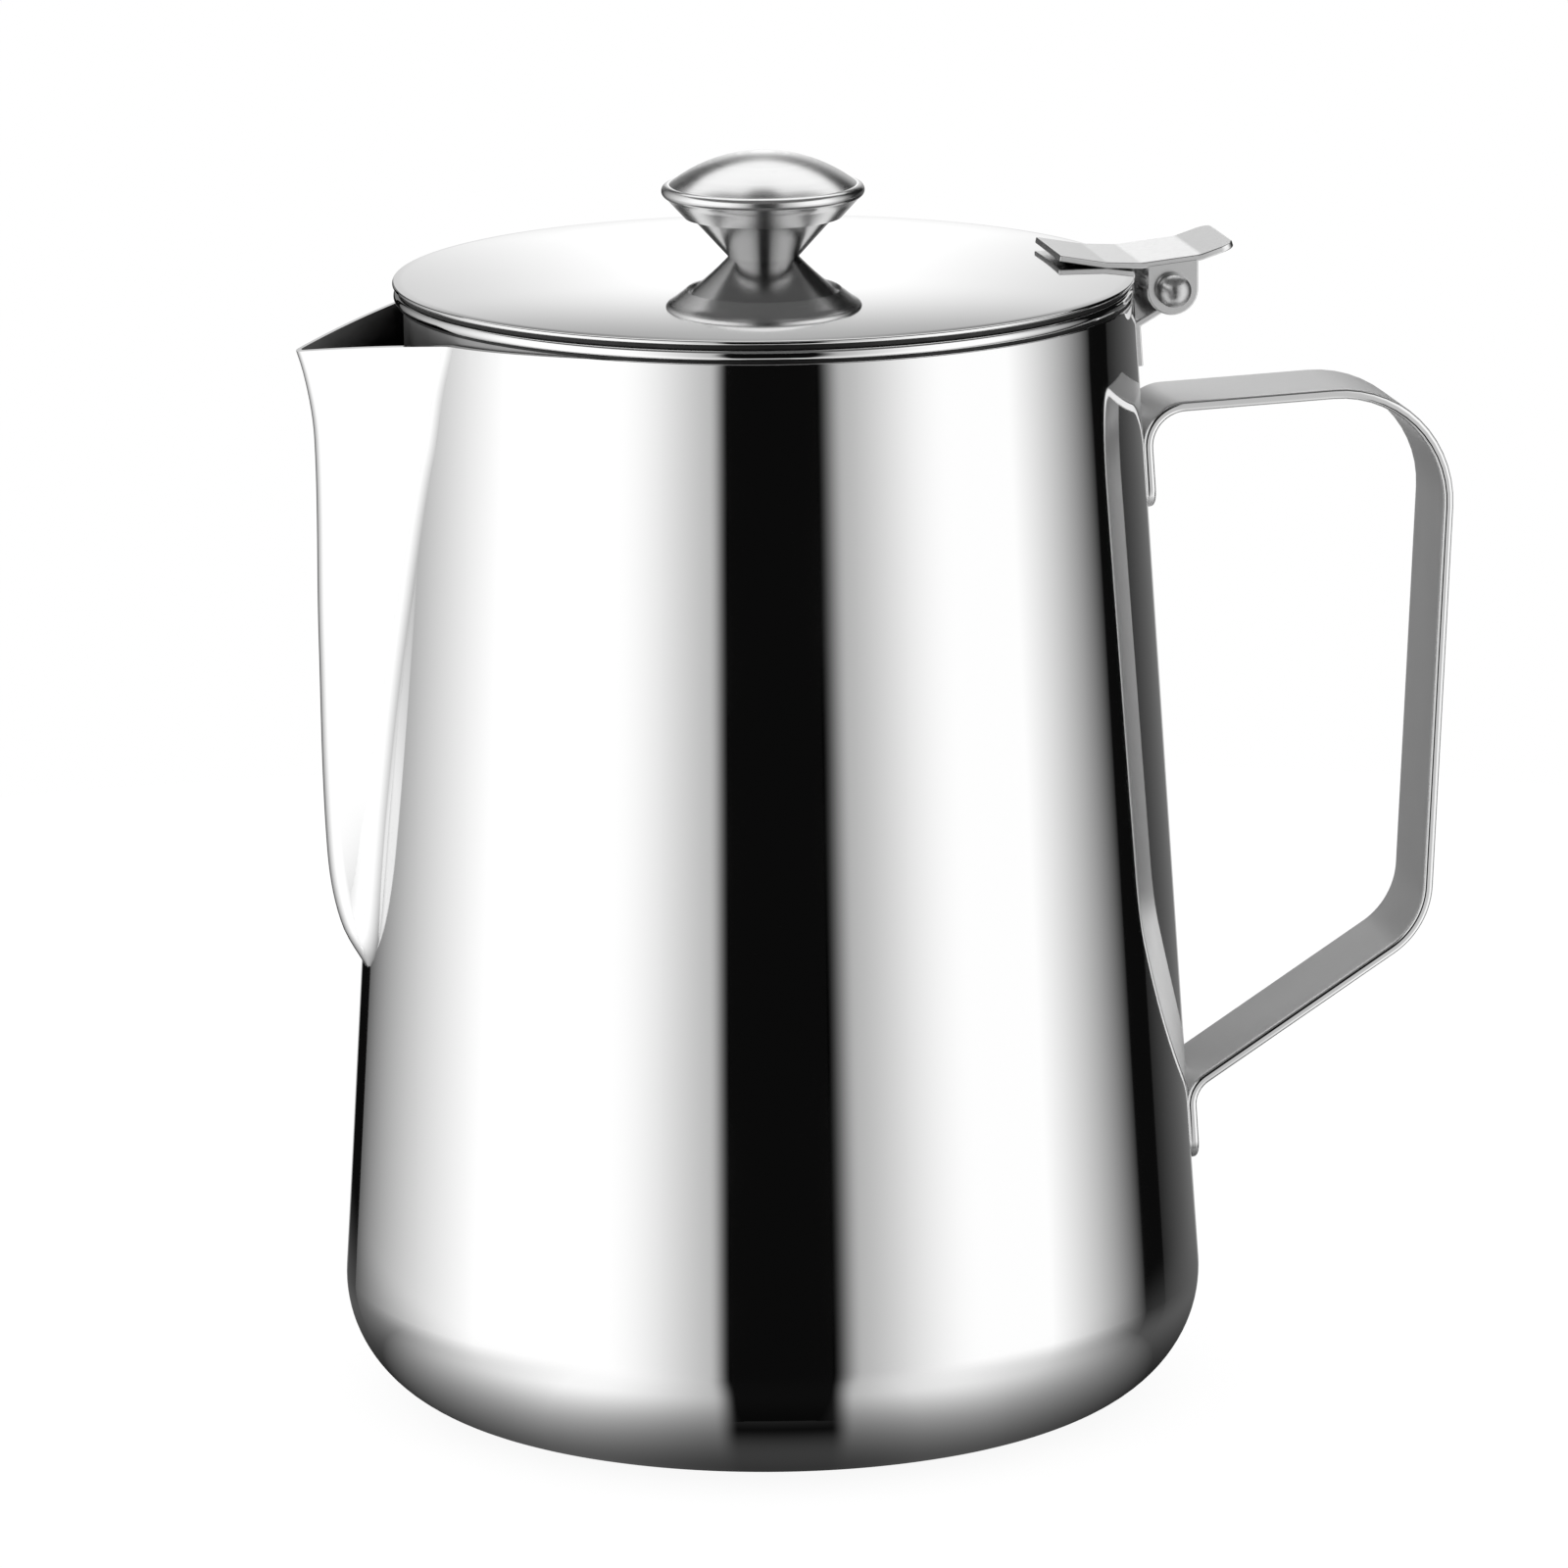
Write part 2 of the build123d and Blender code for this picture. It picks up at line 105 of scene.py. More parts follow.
# Cards round the jug: name, strength, and the ramps that scale it: what they run along, how, from and to in
# degrees from the camera or in mm above the table, share of the light at each
CARD_LIGHTS = (
    ("black_card", 0.004, ()),
    ("left_softbox", 1.26, (
        ("azimuth", "SMOOTHSTEP", -11, -16.5, 0.0, 1.0),
        ("azimuth", "SMOOTHSTEP", -8, -46, 0.42, 1.0),
        ("azimuth", "LINEAR", -86, -151, 1.0, 0.12),
    )),
    ("right_softbox", 1.24, (
        ("azimuth", "SMOOTHSTEP", 15.5, 23.5, 0.0, 1.0),
        ("azimuth", "SMOOTHSTEP", 12, 58, 0.36, 1.0),
        ("azimuth", "LINEAR", 79, 118, 1.0, 0.02),
    )),
    ("grey_card", 0.3, (("azimuth", "LINEAR", 130, 174, 0.08, 0.7),)),
    ("back_softbox", 1.3, (
        ("azimuth", "SMOOTHSTEP", 173, 180, 0.55, 1.0),
        ("azimuth", "SMOOTHSTEP", 180, 187, 1.0, 0.55),
        ("azimuth", "LINEAR", 158, 172, 0.3, 1.0),
        ("azimuth", "LINEAR", 188, 202, 1.0, 0.3),
        ("height", "SMOOTHSTEP", 780, 1270, 1.0, 0.36),
        ("height", "SMOOTHSTEP", 0, 300, 0.74, 1.0),
    )),
    ("overhead_softbox", 1.2, ()),
    ("ceiling_card", 0.14, ()),
)


def linear(code):
    """Linear colour of an sRGB hex code."""
    parts = [int(code[place:place + 2], 16) / 255 for place in (1, 3, 5)]
    return [p / 12.92 if p <= 0.04045 else ((p + 0.055) / 1.055) ** 2.4 for p in parts] + [1.0]


def length(name, description, millimetres):
    """A length that the user can change, given in millimetres."""
    metres = millimetres * MM
    return FloatProperty(name=name, description=description, default=metres, unit="LENGTH", precision=5)


def angle(name, description, degrees):
    """An angle that the user can change, given in degrees."""
    return FloatProperty(name=name, description=description, default=math.radians(degrees), subtype="ANGLE")


def colour(name, description, code):
    """A colour that the user can change, given as an sRGB hex code."""
    return FloatVectorProperty(
        name=name, description=description, default=linear(code), size=4, subtype="COLOR"
    )


class JugBodySizes(PropertyGroup):
    """Sizes of the drawn body."""

    height: length("Height", "Base to rim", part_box("body_shell")[1].z / MM)
    rim_radius: length("Rim radius", "Outside, at the rim", 51.0)
    foot_radius: length("Foot radius", "Outside, where the straight wall would meet the table", 61.1)
    foot_corner: length("Foot corner", "Outside radius between wall and base", 17.0)
    sheet: length("Sheet", "Thickness of the wall", 0.8)
    rim_round: length("Rim rounding", "Radius on the two edges of the rim", 0.22)


class JugSpoutSizes(PropertyGroup):
    """Sizes of the pressed V spout."""

    sheet: length("Sheet", "Thickness of the spout", 0.8)
    weld: length("Weld fillet", "Radius of the dressed weld between spout and wall", 6.0)
    dip: length("Dip", "Fall of the lip below the rim", 5.0)
    run_in: length("Run in", "Rim radius in to where the rim starts to fall towards the lip", 26.0)
    inner_reach: length("Inner reach", "How far the V is carried on inside the rim", 10.0)


class JugHandleSizes(PropertyGroup):
    """Sizes of the bent strap."""

    width: length("Width", "Width of the strap", 16.0)
    sheet: length("Thickness", "Thickness of the strap", 1.5)
    drop: length("Drop", "Rim down to the underside of the top run at the wall", 17.3)
    reach: length("Reach", "Rim radius out to the grip's inside", 44.6)
    top_rise: length("Top rise", "Climb of the top run on its way out", 1.6)
    lean: length("Lean", "The lower corner lies this much nearer the jug", 3.7)
    grip: length("Grip", "Top corner down to the lower corner", 76.2)
    return_drop: length("Return drop", "Fall of the slanted run back to the wall", 21.7)
    upper_tab: length("Upper tab", "Length of the upper tab", 13.4)
    lower_tab: length("Lower tab", "Length of the lower tab", 11.0)
    tab_corner: length("Tab corner", "Radius of the tabs' corners", 3.0)
    wall_bend: length("Wall bend", "Bend from the upper tab to the top run", 4.7)
    top_bend: length("Top bend", "Bend from the top run to the grip", 15.2)
    low_bend: length("Low bend", "Bend from the grip to the slanted run", 10.5)
    foot_bend: length("Foot bend", "Bend from the slanted run to the lower tab", 5.2)
    edge_round: length("Edge rounding", "Radius along the strap's edges", 0.58)
    weld_radius: length("Weld radius", "Radius of the bead at each tab's end", 0.9)


class JugLidSizes(PropertyGroup):
    """Sizes of the domed lid."""

    sheet: length("Sheet", "Thickness of the lid", 0.7)
    overhang: length("Overhang", "Dome edge outside the rim radius", 0.2)
    rise: length("Dome rise", "Edge of the dome up to its top", 2.8)
    edge_rise: length("Edge rise", "Rim up to the dome's edge", 3.1)
    roll: length("Edge roll", "Half the height of the rolled edge", 0.3)
    groove: length("Groove", "Depth of the groove between edge and bead", 0.8)
    groove_height: length("Groove height", "Rolled edge down to the bead", 0.62)
    slot: length("Slot", "Height of the dark slot between bead and rim", 0.38)
    bead_inset: length("Bead inset", "Bead inside the dome's edge", 0.15)
    seat_inset: length("Seat inset", "Outer end of the seat inside the dome's edge", 0.55)
    skirt_depth: length("Skirt depth", "Rim down to the skirt's lower edge", 6.0)
    skirt_gap: length("Skirt gap", "Between the skirt and the wall", 0.5)
    land_margin: length("Land margin", "Flat round the knob's neck", 1.15)
    hole: length("Screw hole", "Radius of the hole for the knob's screw", 2.2)


class JugHingeSizes(PropertyGroup):
    """Sizes of the lever plate, the leaf and the rivet."""

    pin_radius: length("Rivet radius", "Radius of the rivet's shank", 1.5)
    head_radius: length("Head radius", "Radius of the rivet's ball heads", 2.4)
    head_offset: length("Head offset", "Centre of each ball outside its ear", 0.8)
    knuckle_bore: length("Knuckle bore", "Radius inside the rolled knuckle", 1.55)
    knuckle_wall: length("Knuckle wall", "Sheet of the leaf and its knuckle", 0.85)
    side_gap: length("Side gap", "Between the knuckle and each ear", 0.2)
    leaf_foot: length("Leaf foot", "Rim down to the leaf's lower end", 10.6)
    leaf_bend: length("Leaf bend", "Rim down to where the leaf leaves the wall", 5.0)
    leaf_sink: length("Leaf sink", "The leaf is let into the wall by this much", 0.2)
    width: length("Plate width", "Width of the lever plate", 16.0)
    sheet: length("Plate sheet", "Thickness of the lever plate", 0.9)
    sink: length("Sink", "The plate is pressed this far into the dome", 0.1)
    front: length("Front", "Rim radius in to the plate's front edge", 11.0)
    front_lift: length("Front lift", "Front edge above the dome", 0.5)
    lift: length("Lift", "Rim radius in to where the plate leaves the dome", 4.5)
    low_at: length("Low point", "Rim radius out to the plate's lowest point", 0.5)
    low_gap: length("Low gap", "Above the knuckle at the plate's lowest point", 0.6)
    knee: length("Knee", "Rim radius out to the thumb tab", 9.0)
    knee_climb: length("Knee climb", "Lowest point up to the thumb tab", 0.85)
    reach: length("Thumb reach", "Rim radius out to the tab's end", 14.0)
    end_climb: length("End climb", "Up along the thumb tab", 1.6)
    corner: length("Corner", "Radius of the tab's corners", 2.0)
    plate_bend: length("Plate bend", "Radius of the plate's gentle bends", 5.0)
    ear_radius: length("Ear radius", "Radius of the ears round the rivet", 3.62)
    edge_round: length("Edge rounding", "Radius along the sheet's edges", 0.2)


class JugKnobSizes(PropertyGroup):
    """Sizes of the knob and its fasteners."""

    radius: length("Radius", "Outside of the cap's bead", 14.0)
    neck: length("Neck", "Radius of the cone at the lid", 4.85)
    edge_height: length("Edge height", "Lid up to the middle of the bead", 9.35)
    rise: length("Crown rise", "Middle of the bead up to the crown's top", 5.2)
    bead: length("Bead", "Radius of the bead round the cap", 0.8)
    crease: angle("Crease", "From the bead's top in to the crease at the crown", 20.0)
    sheet: length("Sheet", "Thickness of the cap and cone", 0.7)
    band: length("Band", "Length of the folded band along the cone", 4.4)
    fold_gap: length("Fold gap", "Between the band and the cone", 0.05)
    screw_radius: length("Screw radius", "Radius of the screw's shank", 1.95)
    head_radius: length("Head radius", "Radius of the screw's head", 3.8)
    head_height: length("Head height", "Height of the screw's head", 2.4)
    head_round: length("Head rounding", "Radius on the screw head's edge", 0.9)
    tip: length("Screw tip", "Thread above the nut", 1.0)
    nut_height: length("Nut height", "Height of the nut", 3.2)
    nut_gap: length("Nut gap", "Between the nut's corners and the cone", 0.5)
    washer_margin: length("Washer margin", "Washer outside the screw's head", 0.7)
    washer: length("Washer", "Thickness of the washer", 0.8)


class JugFinishes(PropertyGroup):
    """Colours of the steel and of the studio."""

    mirror: colour("Mirror steel", "Polished body, spout, lid and knob's crown", "#E7E7E7")
    stem: colour("Stem steel", "Spun cone under the knob's crown", "#CDCDCD")
    inside: colour("Inside steel", "Inside of the body, spout and lid", "#9E9E9E")
    # Painted shade: colour that darkens the groove and slot at the lid's edge
    seam: colour("Seam steel", "Folds at the lid's edge", "#3A3A3A")
    strap: colour("Strap steel", "Flat faces of the handle's strap", "#E6E6E6")
    sheet: colour("Hinge steel", "Stamped sheet of the hinge", "#DFDFDF")
    fastener: colour("Fastener steel", "Rivet, nut, screw and washer", "#C6C6C6")
    weld: colour("Weld steel", "Beads at the handle's tabs", "#B9B8B7")
    paper: colour("Paper", "White backdrop and table", "#FFFFFF")
    shade: colour("Shade", "Part of the table's white that the shadow takes", "#606060")


class JugStudio(PropertyGroup):
    """Where the camera and the studio's cards are."""

    distance: length("Camera distance", "Camera to the point it looks at", 1400.0)
    azimuth: angle("Camera azimuth", "Turn of the camera round the jug", -10.9)
    elevation: angle("Camera elevation", "Camera above the horizon", 12.743)
    roll: angle("Camera roll", "Lean of the picture", -0.5)
    lens: FloatProperty(name="Lens", description="Focal length in mm on a 36 mm sensor", default=230.6)
    target: FloatVectorProperty(
        name="Target", description="Point that the camera looks at", subtype="XYZ", unit="LENGTH",
        default=(2.147 * MM, -0.414 * MM, 86.25 * MM),
    )
    radius: length("Studio radius", "Distance of the softboxes", 2400.0)
    layer: length("Layer", "Between cards that lie behind one another", 50.0)
    ceiling: length("Ceiling", "Height of the overhead cards", 1950.0)
    opening: length("Opening", "Inner radius of the overhead softbox", 450.0)
    horizon: length("Horizon", "Height at which the low rear cards end", 100.0)
    depth: length("Depth", "How far the cards go on below the table", 3600.0)
    floor_radius: length("Floor radius", "Radius of the floor", 400.0)


class JugShape:
    """Sizes that follow from the ones that the user sets."""

    def __init__(self, scene):
        self.finishes = scene.jug_finishes
        self.body, self.spout, self.handle = scene.jug_body, scene.jug_spout, scene.jug_handle
        self.lid, self.hinge, self.knob = scene.jug_lid, scene.jug_hinge, scene.jug_knob
        body, lid, knob = self.body, self.lid, self.knob
        self.slope = (body.foot_radius - body.rim_radius) / body.height
        self.lean = math.hypot(1, self.slope)
        self.lid_radius = body.rim_radius + lid.overhang
        self.dome_edge = body.height + lid.edge_rise
        self.dome_radius = (self.lid_radius**2 + lid.rise**2) / (2 * lid.rise)
        self.dome_centre = self.dome_edge + lid.rise - self.dome_radius
        self.land = knob.neck + lid.land_margin
        self.seat = self.dome(self.land)
        self.cap_edge = self.seat + knob.edge_height
        spread = knob.radius - knob.sheet - knob.neck
        self.cone_run = math.hypot(spread, knob.edge_height)
        self.cone_along = Vector((spread, knob.edge_height)) / self.cone_run
        self.cone_out = Vector((self.cone_along.y, -self.cone_along.x))
        floor_rise = knob.sheet - self.on_cone(0, -knob.sheet).y + self.seat
        self.cone_floor = self.on_cone(floor_rise / self.cone_along.y, -knob.sheet)
        self.washer_low = self.seat - lid.sheet - knob.washer

    def wall(self, z):
        """Outside radius of the straight wall."""
        return self.body.rim_radius + self.slope * (self.body.height - z)

    def wall_x(self, z, half_width):
        """X where a flat strip first meets the round wall."""
        return math.sqrt(self.wall(z) ** 2 - half_width**2)

    def dome(self, r, inset=0.0):
        """Height of the lid's dome, this far inside it."""
        return self.dome_centre + math.sqrt((self.dome_radius - inset) ** 2 - r**2)

    def on_cone(self, distance, proud):
        """Point this far up the knob's cone from the neck, and this far outside it."""
        return Vector((self.knob.neck, self.seat)) + distance * self.cone_along + proud * self.cone_out


def picked(items, kind):
    """Those of the items that are of one kind."""
    return [item for item in items if isinstance(item, kind)]


def stretch(bm, vert, start, goal, parts):
    """Straight line of edges that goes on from a vertex, between two points; returns its far end."""
    for part in range(1, parts + 1):
        vert = bmesh.ops.extrude_vert_indiv(bm, verts=[vert])["verts"][0]
        vert.co = start.lerp(goal, part / parts)
    return vert


def run_to(bm, vert, *ends, parts=1):
    """Straight stretches of an outline in the XZ plane, each in so many parts; returns their far end."""
    for x, z in ends:
        vert = stretch(bm, vert, vert.co.copy(), Vector((x, 0, z)), parts)
    return vert


def spun(bm, vert, centre, axis, turn, steps):
    """Round stretch of an outline about an axis; returns its far end."""
    made = bmesh.ops.spin(bm, geom=[vert], cent=centre, axis=axis, angle=turn, steps=steps)
    return picked(made["geom_last"], BMVert)[0]


def arc_to(bm, vert, middle, end, steps):
    """Round stretch of an outline in the XZ plane, through a middle point; returns its far end."""
    start, middle, end = Vector((vert.co.x, vert.co.z)), Vector(middle), Vector(end)
    first, second = middle - start, end - middle
    offset = (end - start) / 2
    share = (offset.x * second.x + offset.y * second.y) / (second.x * -first.y + second.y * first.x)
    centre = (start + middle) / 2 + share * Vector((-first.y, first.x))
    turn = 0.0
    for near, far in ((start - centre, middle - centre), (middle - centre, end - centre)):
        turn += math.atan2(near.y * far.x - near.x * far.y, near.dot(far))
    return spun(bm, vert, (centre.x, 0, centre.y), (0, 1, 0), turn, steps)


def close_outline(bm, last, first):
    """Edge from an outline's last point back to its first."""
    bmesh.ops.contextual_create(bm, geom=[last, first])


def turned(bm, steps):
    """Spins an outline in the XZ plane round the Z axis into a closed skin."""
    bmesh.ops.spin(
        bm, geom=bm.verts[:] + bm.edges[:], axis=(0, 0, 1), angle=TURN, steps=steps, use_merge=True
    )
    bmesh.ops.remove_doubles(bm, verts=bm.verts, dist=MERGE)
    bmesh.ops.recalc_face_normals(bm, faces=bm.faces)


def lay_on_pin(bm):
    """Moves a turned shape from the Z axis to the hinge's."""
    bmesh.ops.rotate(bm, verts=bm.verts, matrix=Matrix.Rotation(math.pi / 2, 3, "X"))
    bmesh.ops.translate(bm, verts=bm.verts, vec=PIN)


def slab(bm, low, high):
    """Fills a closed outline in the XZ plane and draws it out along Y."""
    bmesh.ops.contextual_create(bm, geom=bm.edges[:])
    bmesh.ops.translate(bm, verts=bm.verts, vec=(0, low, 0))
    made = bmesh.ops.extrude_face_region(bm, geom=bm.faces[:])["geom"]
    bmesh.ops.translate(bm, verts=picked(made, BMVert), vec=(0, high - low, 0))
    bmesh.ops.recalc_face_normals(bm, faces=bm.faces)


def bent_strip(bm, corners, bends, sheet, half_width, end_rounds):
    """Strip along corners in the XZ plane, with its sheet on the path's left and these bend radii on it."""
    points = [Vector((x, 0, z)) for x, z in corners]
    legs = [end - start for start, end in zip(points, points[1:])]
    turns = [math.atan2(a.z * b.x - a.x * b.z, a.dot(b)) for a, b in zip(legs, legs[1:])]
    trims = [0.0] + [abs(bend * math.tan(turn / 2)) for bend, turn in zip(bends, turns)] + [0.0]
    place, side = points[0], Vector((0, half_width, 0))
    up = Vector((-legs[0].z, 0, legs[0].x)).normalized() * sheet
    section = (place - side, place + side, place + up + side, place + up - side)
    verts = [bm.verts.new(corner) for corner in section]
    pairs = [[verts[index - 1], verts[index]] for index in range(4)]
    loop = [bmesh.ops.contextual_create(bm, geom=pair)["edges"][0] for pair in pairs]
    ends = [loop]
    for index, leg in enumerate(legs):
        along = leg.normalized()
        run = along * (leg.length - trims[index] - trims[index + 1])
        made = bmesh.ops.extrude_edge_only(bm, edges=loop)["geom"]
        verts, loop = picked(made, BMVert), picked(made, BMEdge)
        bmesh.ops.translate(bm, verts=verts, vec=run)
        place = place + run
        if index < len(bends):
            left = Vector((-along.z, 0, along.x))
            centre = place - left * math.copysign(bends[index], turns[index])
            made = bmesh.ops.spin(
                bm, geom=verts + loop, cent=centre, axis=(0, 1, 0), angle=turns[index], steps=BEND_STEPS
            )["geom_last"]
            verts, loop = picked(made, BMVert), picked(made, BMEdge)
            place = centre + Matrix.Rotation(turns[index], 3, "Y") @ (place - centre)
    ends.append(loop)
    for end in ends:
        bmesh.ops.edgeloop_fill(bm, edges=end)
    bmesh.ops.recalc_face_normals(bm, faces=bm.faces)
    for end, radius in zip(ends, end_rounds):
        if radius:
            bmesh.ops.bevel(
                bm, geom=[edge for edge in end if edge.calc_length() < half_width], affect="EDGES",
                offset=radius, offset_type="OFFSET", segments=8, profile=0.5, material=-1,
            )


def lofted(draw, ends, levels):
    """Closed form through the outlines that draw makes from one drop in millimetres to another."""
    bm = bmesh.new()
    ring = None
    for level in range(levels + 1):
        z = draw(bm, ends[0] + (ends[1] - ends[0]) * level / levels)
        above = ring
        ring = [edge for edge in bm.edges if not edge.link_faces and abs(edge.verts[0].co.z - z) < MERGE]
        if above:
            bmesh.ops.bridge_loops(bm, edges=above + ring)
        else:
            bmesh.ops.edgeloop_fill(bm, edges=ring)
    bmesh.ops.edgeloop_fill(bm, edges=ring)
    bmesh.ops.recalc_face_normals(bm, faces=bm.faces)
    return bm


def place_object(bm, name, materials=()):
    """Turns a mesh into an object in the scene."""
    mesh = bpy.data.meshes.new(name)
    bm.to_mesh(mesh)
    bm.free()
    for material in materials:
        mesh.materials.append(material)
    placed = bpy.data.objects.new(name, mesh)
    bpy.context.scene.collection.objects.link(placed)
    return placed


def join(bm, other):
    """Adds another mesh to this one."""
    mesh = bpy.data.meshes.new("joined")
    other.to_mesh(mesh)
    other.free()
    bm.from_mesh(mesh)
    bpy.data.meshes.remove(mesh)


def cut_away(bm, *cutters):
    """What is left of a closed mesh when the closed cutters are taken away from it."""
    objects = [place_object(part, "cut") for part in (bm, *cutters)]
    for cutter in objects[1:]:
        cut = objects[0].modifiers.new("cut", "BOOLEAN")
        cut.operation, cut.solver, cut.object = "DIFFERENCE", "EXACT", cutter
    left = bmesh.new()
    left.from_object(objects[0], bpy.context.evaluated_depsgraph_get())
    for item in objects:
        mesh = item.data
        bpy.data.objects.remove(item)
        bpy.data.meshes.remove(mesh)
    if not left.faces:
        raise RuntimeError("a cut left nothing")
    return left


def finish_piece(bm, name, body, materials, nodes=(), soften=0.0):
    """Turns a mesh into a piece that rides on a body and stands for these nodes."""
    for face in bm.faces:
        face.smooth = True
    for edge in bm.edges:
        edge.smooth = edge.calc_face_angle(0) < SHARP
    piece = place_object(bm, name, materials)
    if soften:
        rounding = piece.modifiers.new("edge rounding", "BEVEL")
        rounding.width, rounding.segments, rounding.profile = soften, ROUND_SEGMENTS, 0.5
        rounding.limit_method, rounding.angle_limit = "ANGLE", ROUNDED
        rounding.harden_normals = True
    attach(piece, body)
    if nodes:
        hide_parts(*nodes)


def add_node(tree, kind, inputs=None, **settings):
    """Adds a node with its settings; an input is a plain value, or a socket that is linked to it."""
    node = tree.nodes.new(kind)
    for key, value in settings.items():
        setattr(node, key, value)
    for key, value in (inputs or {}).items():
        if isinstance(value, bpy.types.NodeSocket):
            tree.links.new(value, node.inputs[key])
        else:
            node.inputs[key].default_value = value
    return node


def new_material(name):
    """A node material with nothing in it but Object coordinates, its tree, and their socket."""
    material = bpy.data.materials.get(name) or bpy.data.materials.new(name)
    material.use_nodes = True
    tree = material.node_tree
    tree.nodes.clear()
    return material, tree, add_node(tree, "ShaderNodeTexCoord").outputs["Object"]


def ramp(value, start, end, share_start, share_end):
    """Inputs that turn a value from start to end into a share."""
    return {"Value": value, "From Min": start, "From Max": end, "To Min": share_start, "To Max": share_end}


def bare_steel(tree, tone, pattern, smoothest, roughest, low=0.3, bump=None):
    """Steel whose roughness follows a pattern, as its bump does, given as strength and depth."""
    rough = add_node(tree, "ShaderNodeMapRange", ramp(pattern, low, 0.7, smoothest, roughest))
    steel = add_node(tree, "ShaderNodeBsdfPrincipled", {
        "Base Color": tone, "Metallic": 1.0, "Roughness": rough.outputs["Result"],
    })
    if bump:
        strength, depth = bump
        relief = add_node(tree, "ShaderNodeBump", {
            "Height": pattern, "Strength": strength, "Distance": depth,
        })
        tree.links.new(relief.outputs["Normal"], steel.inputs["Normal"])
    add_node(tree, "ShaderNodeOutputMaterial", {"Surface": steel.outputs["BSDF"]})


def mirror_polished_steel(finishes):
    """Drawn 18/8 sheet, buffed to a mirror."""
    # Clear reflections, with a faint haze in patches where the buffing wheel dwelt
    material, tree, place = new_material("mirror_polished_steel")
    haze = add_node(tree, "ShaderNodeTexNoise", {"Vector": place, "Scale": 1 / (28 * MM), "Detail": 3.0})
    bare_steel(tree, finishes.mirror, haze.outputs["Fac"], 0.035, 0.06, low=0.35)
    return material


def drawn_inside_steel(finishes):
    """Inside of the body and spout and the lid's underside, left as drawn."""
    # Dull and darker than the outside, with blurred reflections
    material, tree, place = new_material("drawn_inside_steel")
    drag = add_node(tree, "ShaderNodeTexNoise", {"Vector": place, "Scale": 1 / (6 * MM), "Detail": 4.0})
    bare_steel(tree, finishes.inside, drag.outputs["Fac"], 0.3, 0.4)
    return material


def painted_shade_seam_steel(finishes):
    """Painted shade in the folds at the lid's edge: its groove and slot."""
    # Painted shade: dark lines at the lid's edge
    material, tree, place = new_material("painted_shade_seam_steel")
    rough_patches = add_node(tree, "ShaderNodeTexNoise", {"Vector": place, "Scale": 1 / (3 * MM), "Detail": 2.0})
    bare_steel(tree, finishes.seam, rough_patches.outputs["Fac"], 0.4, 0.55)
    return material


def satin_knob_steel(name, tone, smoothest, roughest):
    """Spun stainless knob, brushed round its axis and lightly buffed."""
    # Soft, blurred reflections, a little broken up by fine rings
    material, tree, place = new_material(name)
    height = add_node(tree, "ShaderNodeSeparateXYZ", {"Vector": place}).outputs["Z"]
    # Real rings are about 0.05 mm apart; they are drawn at 0.2 mm so that they show
    rings = add_node(tree, "ShaderNodeTexNoise", {
        "W": height, "Scale": 1 / (0.2 * MM), "Detail": 2.0,
    }, noise_dimensions="1D")
    bare_steel(tree, tone, rings.outputs["Fac"], smoothest, roughest)
    return material


def bright_strap_steel(finishes):
    """Rolled stainless strap, brightened along its length."""
    # A satin sheen, broken up by fine lines that run along the strap
    material, tree, place = new_material("bright_strap_steel")
    # Real lines are about 0.05 mm apart; they are drawn at 0.25 mm so that they show
    along = add_node(tree, "ShaderNodeMapping", {
        "Vector": place, "Scale": (1 / (20 * MM), 1 / (0.25 * MM), 1 / (20 * MM)),
    }).outputs["Vector"]
    lines = add_node(tree, "ShaderNodeTexNoise", {"Vector": along, "Scale": 1.0, "Detail": 2.0})
    bare_steel(tree, finishes.strap, lines.outputs["Fac"], 0.42, 0.5, bump=(0.08, 0.01 * MM))
    return material


def stamped_hinge_steel(finishes):
    """Stamped stainless sheet, tumbled bright."""
    # Soft reflections, a little clouded by tumbling
    material, tree, place = new_material("stamped_hinge_steel")
    cloud = add_node(tree, "ShaderNodeTexNoise", {"Vector": place, "Scale": 1 / (0.8 * MM), "Detail": 2.0})
    bare_steel(tree, finishes.sheet, cloud.outputs["Fac"], 0.21, 0.24)
    return material


def plain_fastener_steel(finishes):
    """Turned stainless rivet, nut, screw and washer, as machined."""
    # Greyer and duller than the sheet, with fine grit
    material, tree, place = new_material("plain_fastener_steel")
    grit = add_node(tree, "ShaderNodeTexNoise", {"Vector": place, "Scale": 1 / (0.4 * MM), "Detail": 3.0})
    bare_steel(tree, finishes.fastener, grit.outputs["Fac"], 0.26, 0.4)
    return material


def dressed_weld_steel(finishes):
    """Weld metal at the handle's tabs, dressed and polished over."""
    # Slightly lumpy and a little darker than the sheet round it
    material, tree, place = new_material("dressed_weld_steel")
    lumps = add_node(tree, "ShaderNodeTexNoise", {"Vector": place, "Scale": 1 / (1.2 * MM), "Detail": 3.0})
    bare_steel(tree, finishes.weld, lumps.outputs["Fac"], 0.16, 0.3, bump=(0.4, 0.2 * MM))
    return material


def body_outline(bm, shape, inset, top):
    """Half outline from the base's middle to the top, this far inside the outside; returns its end."""
    corner = shape.body.foot_corner
    centre = Vector((shape.wall(corner) - corner * shape.lean, corner))
    tilt = math.atan(shape.slope)
    halfway = (tilt - math.pi / 2) / 2
    reach = corner - inset
    vert = run_to(bm, bm.verts.new((0, 0, inset)), (centre.x, inset), parts=6)
    vert = arc_to(
        bm, vert,
        centre + reach * Vector((math.cos(halfway), math.sin(halfway))),
        centre + reach * Vector((math.cos(tilt), math.sin(tilt))), 28,
    )
    return run_to(bm, vert, (shape.wall(top) - inset * shape.lean, top), parts=24)


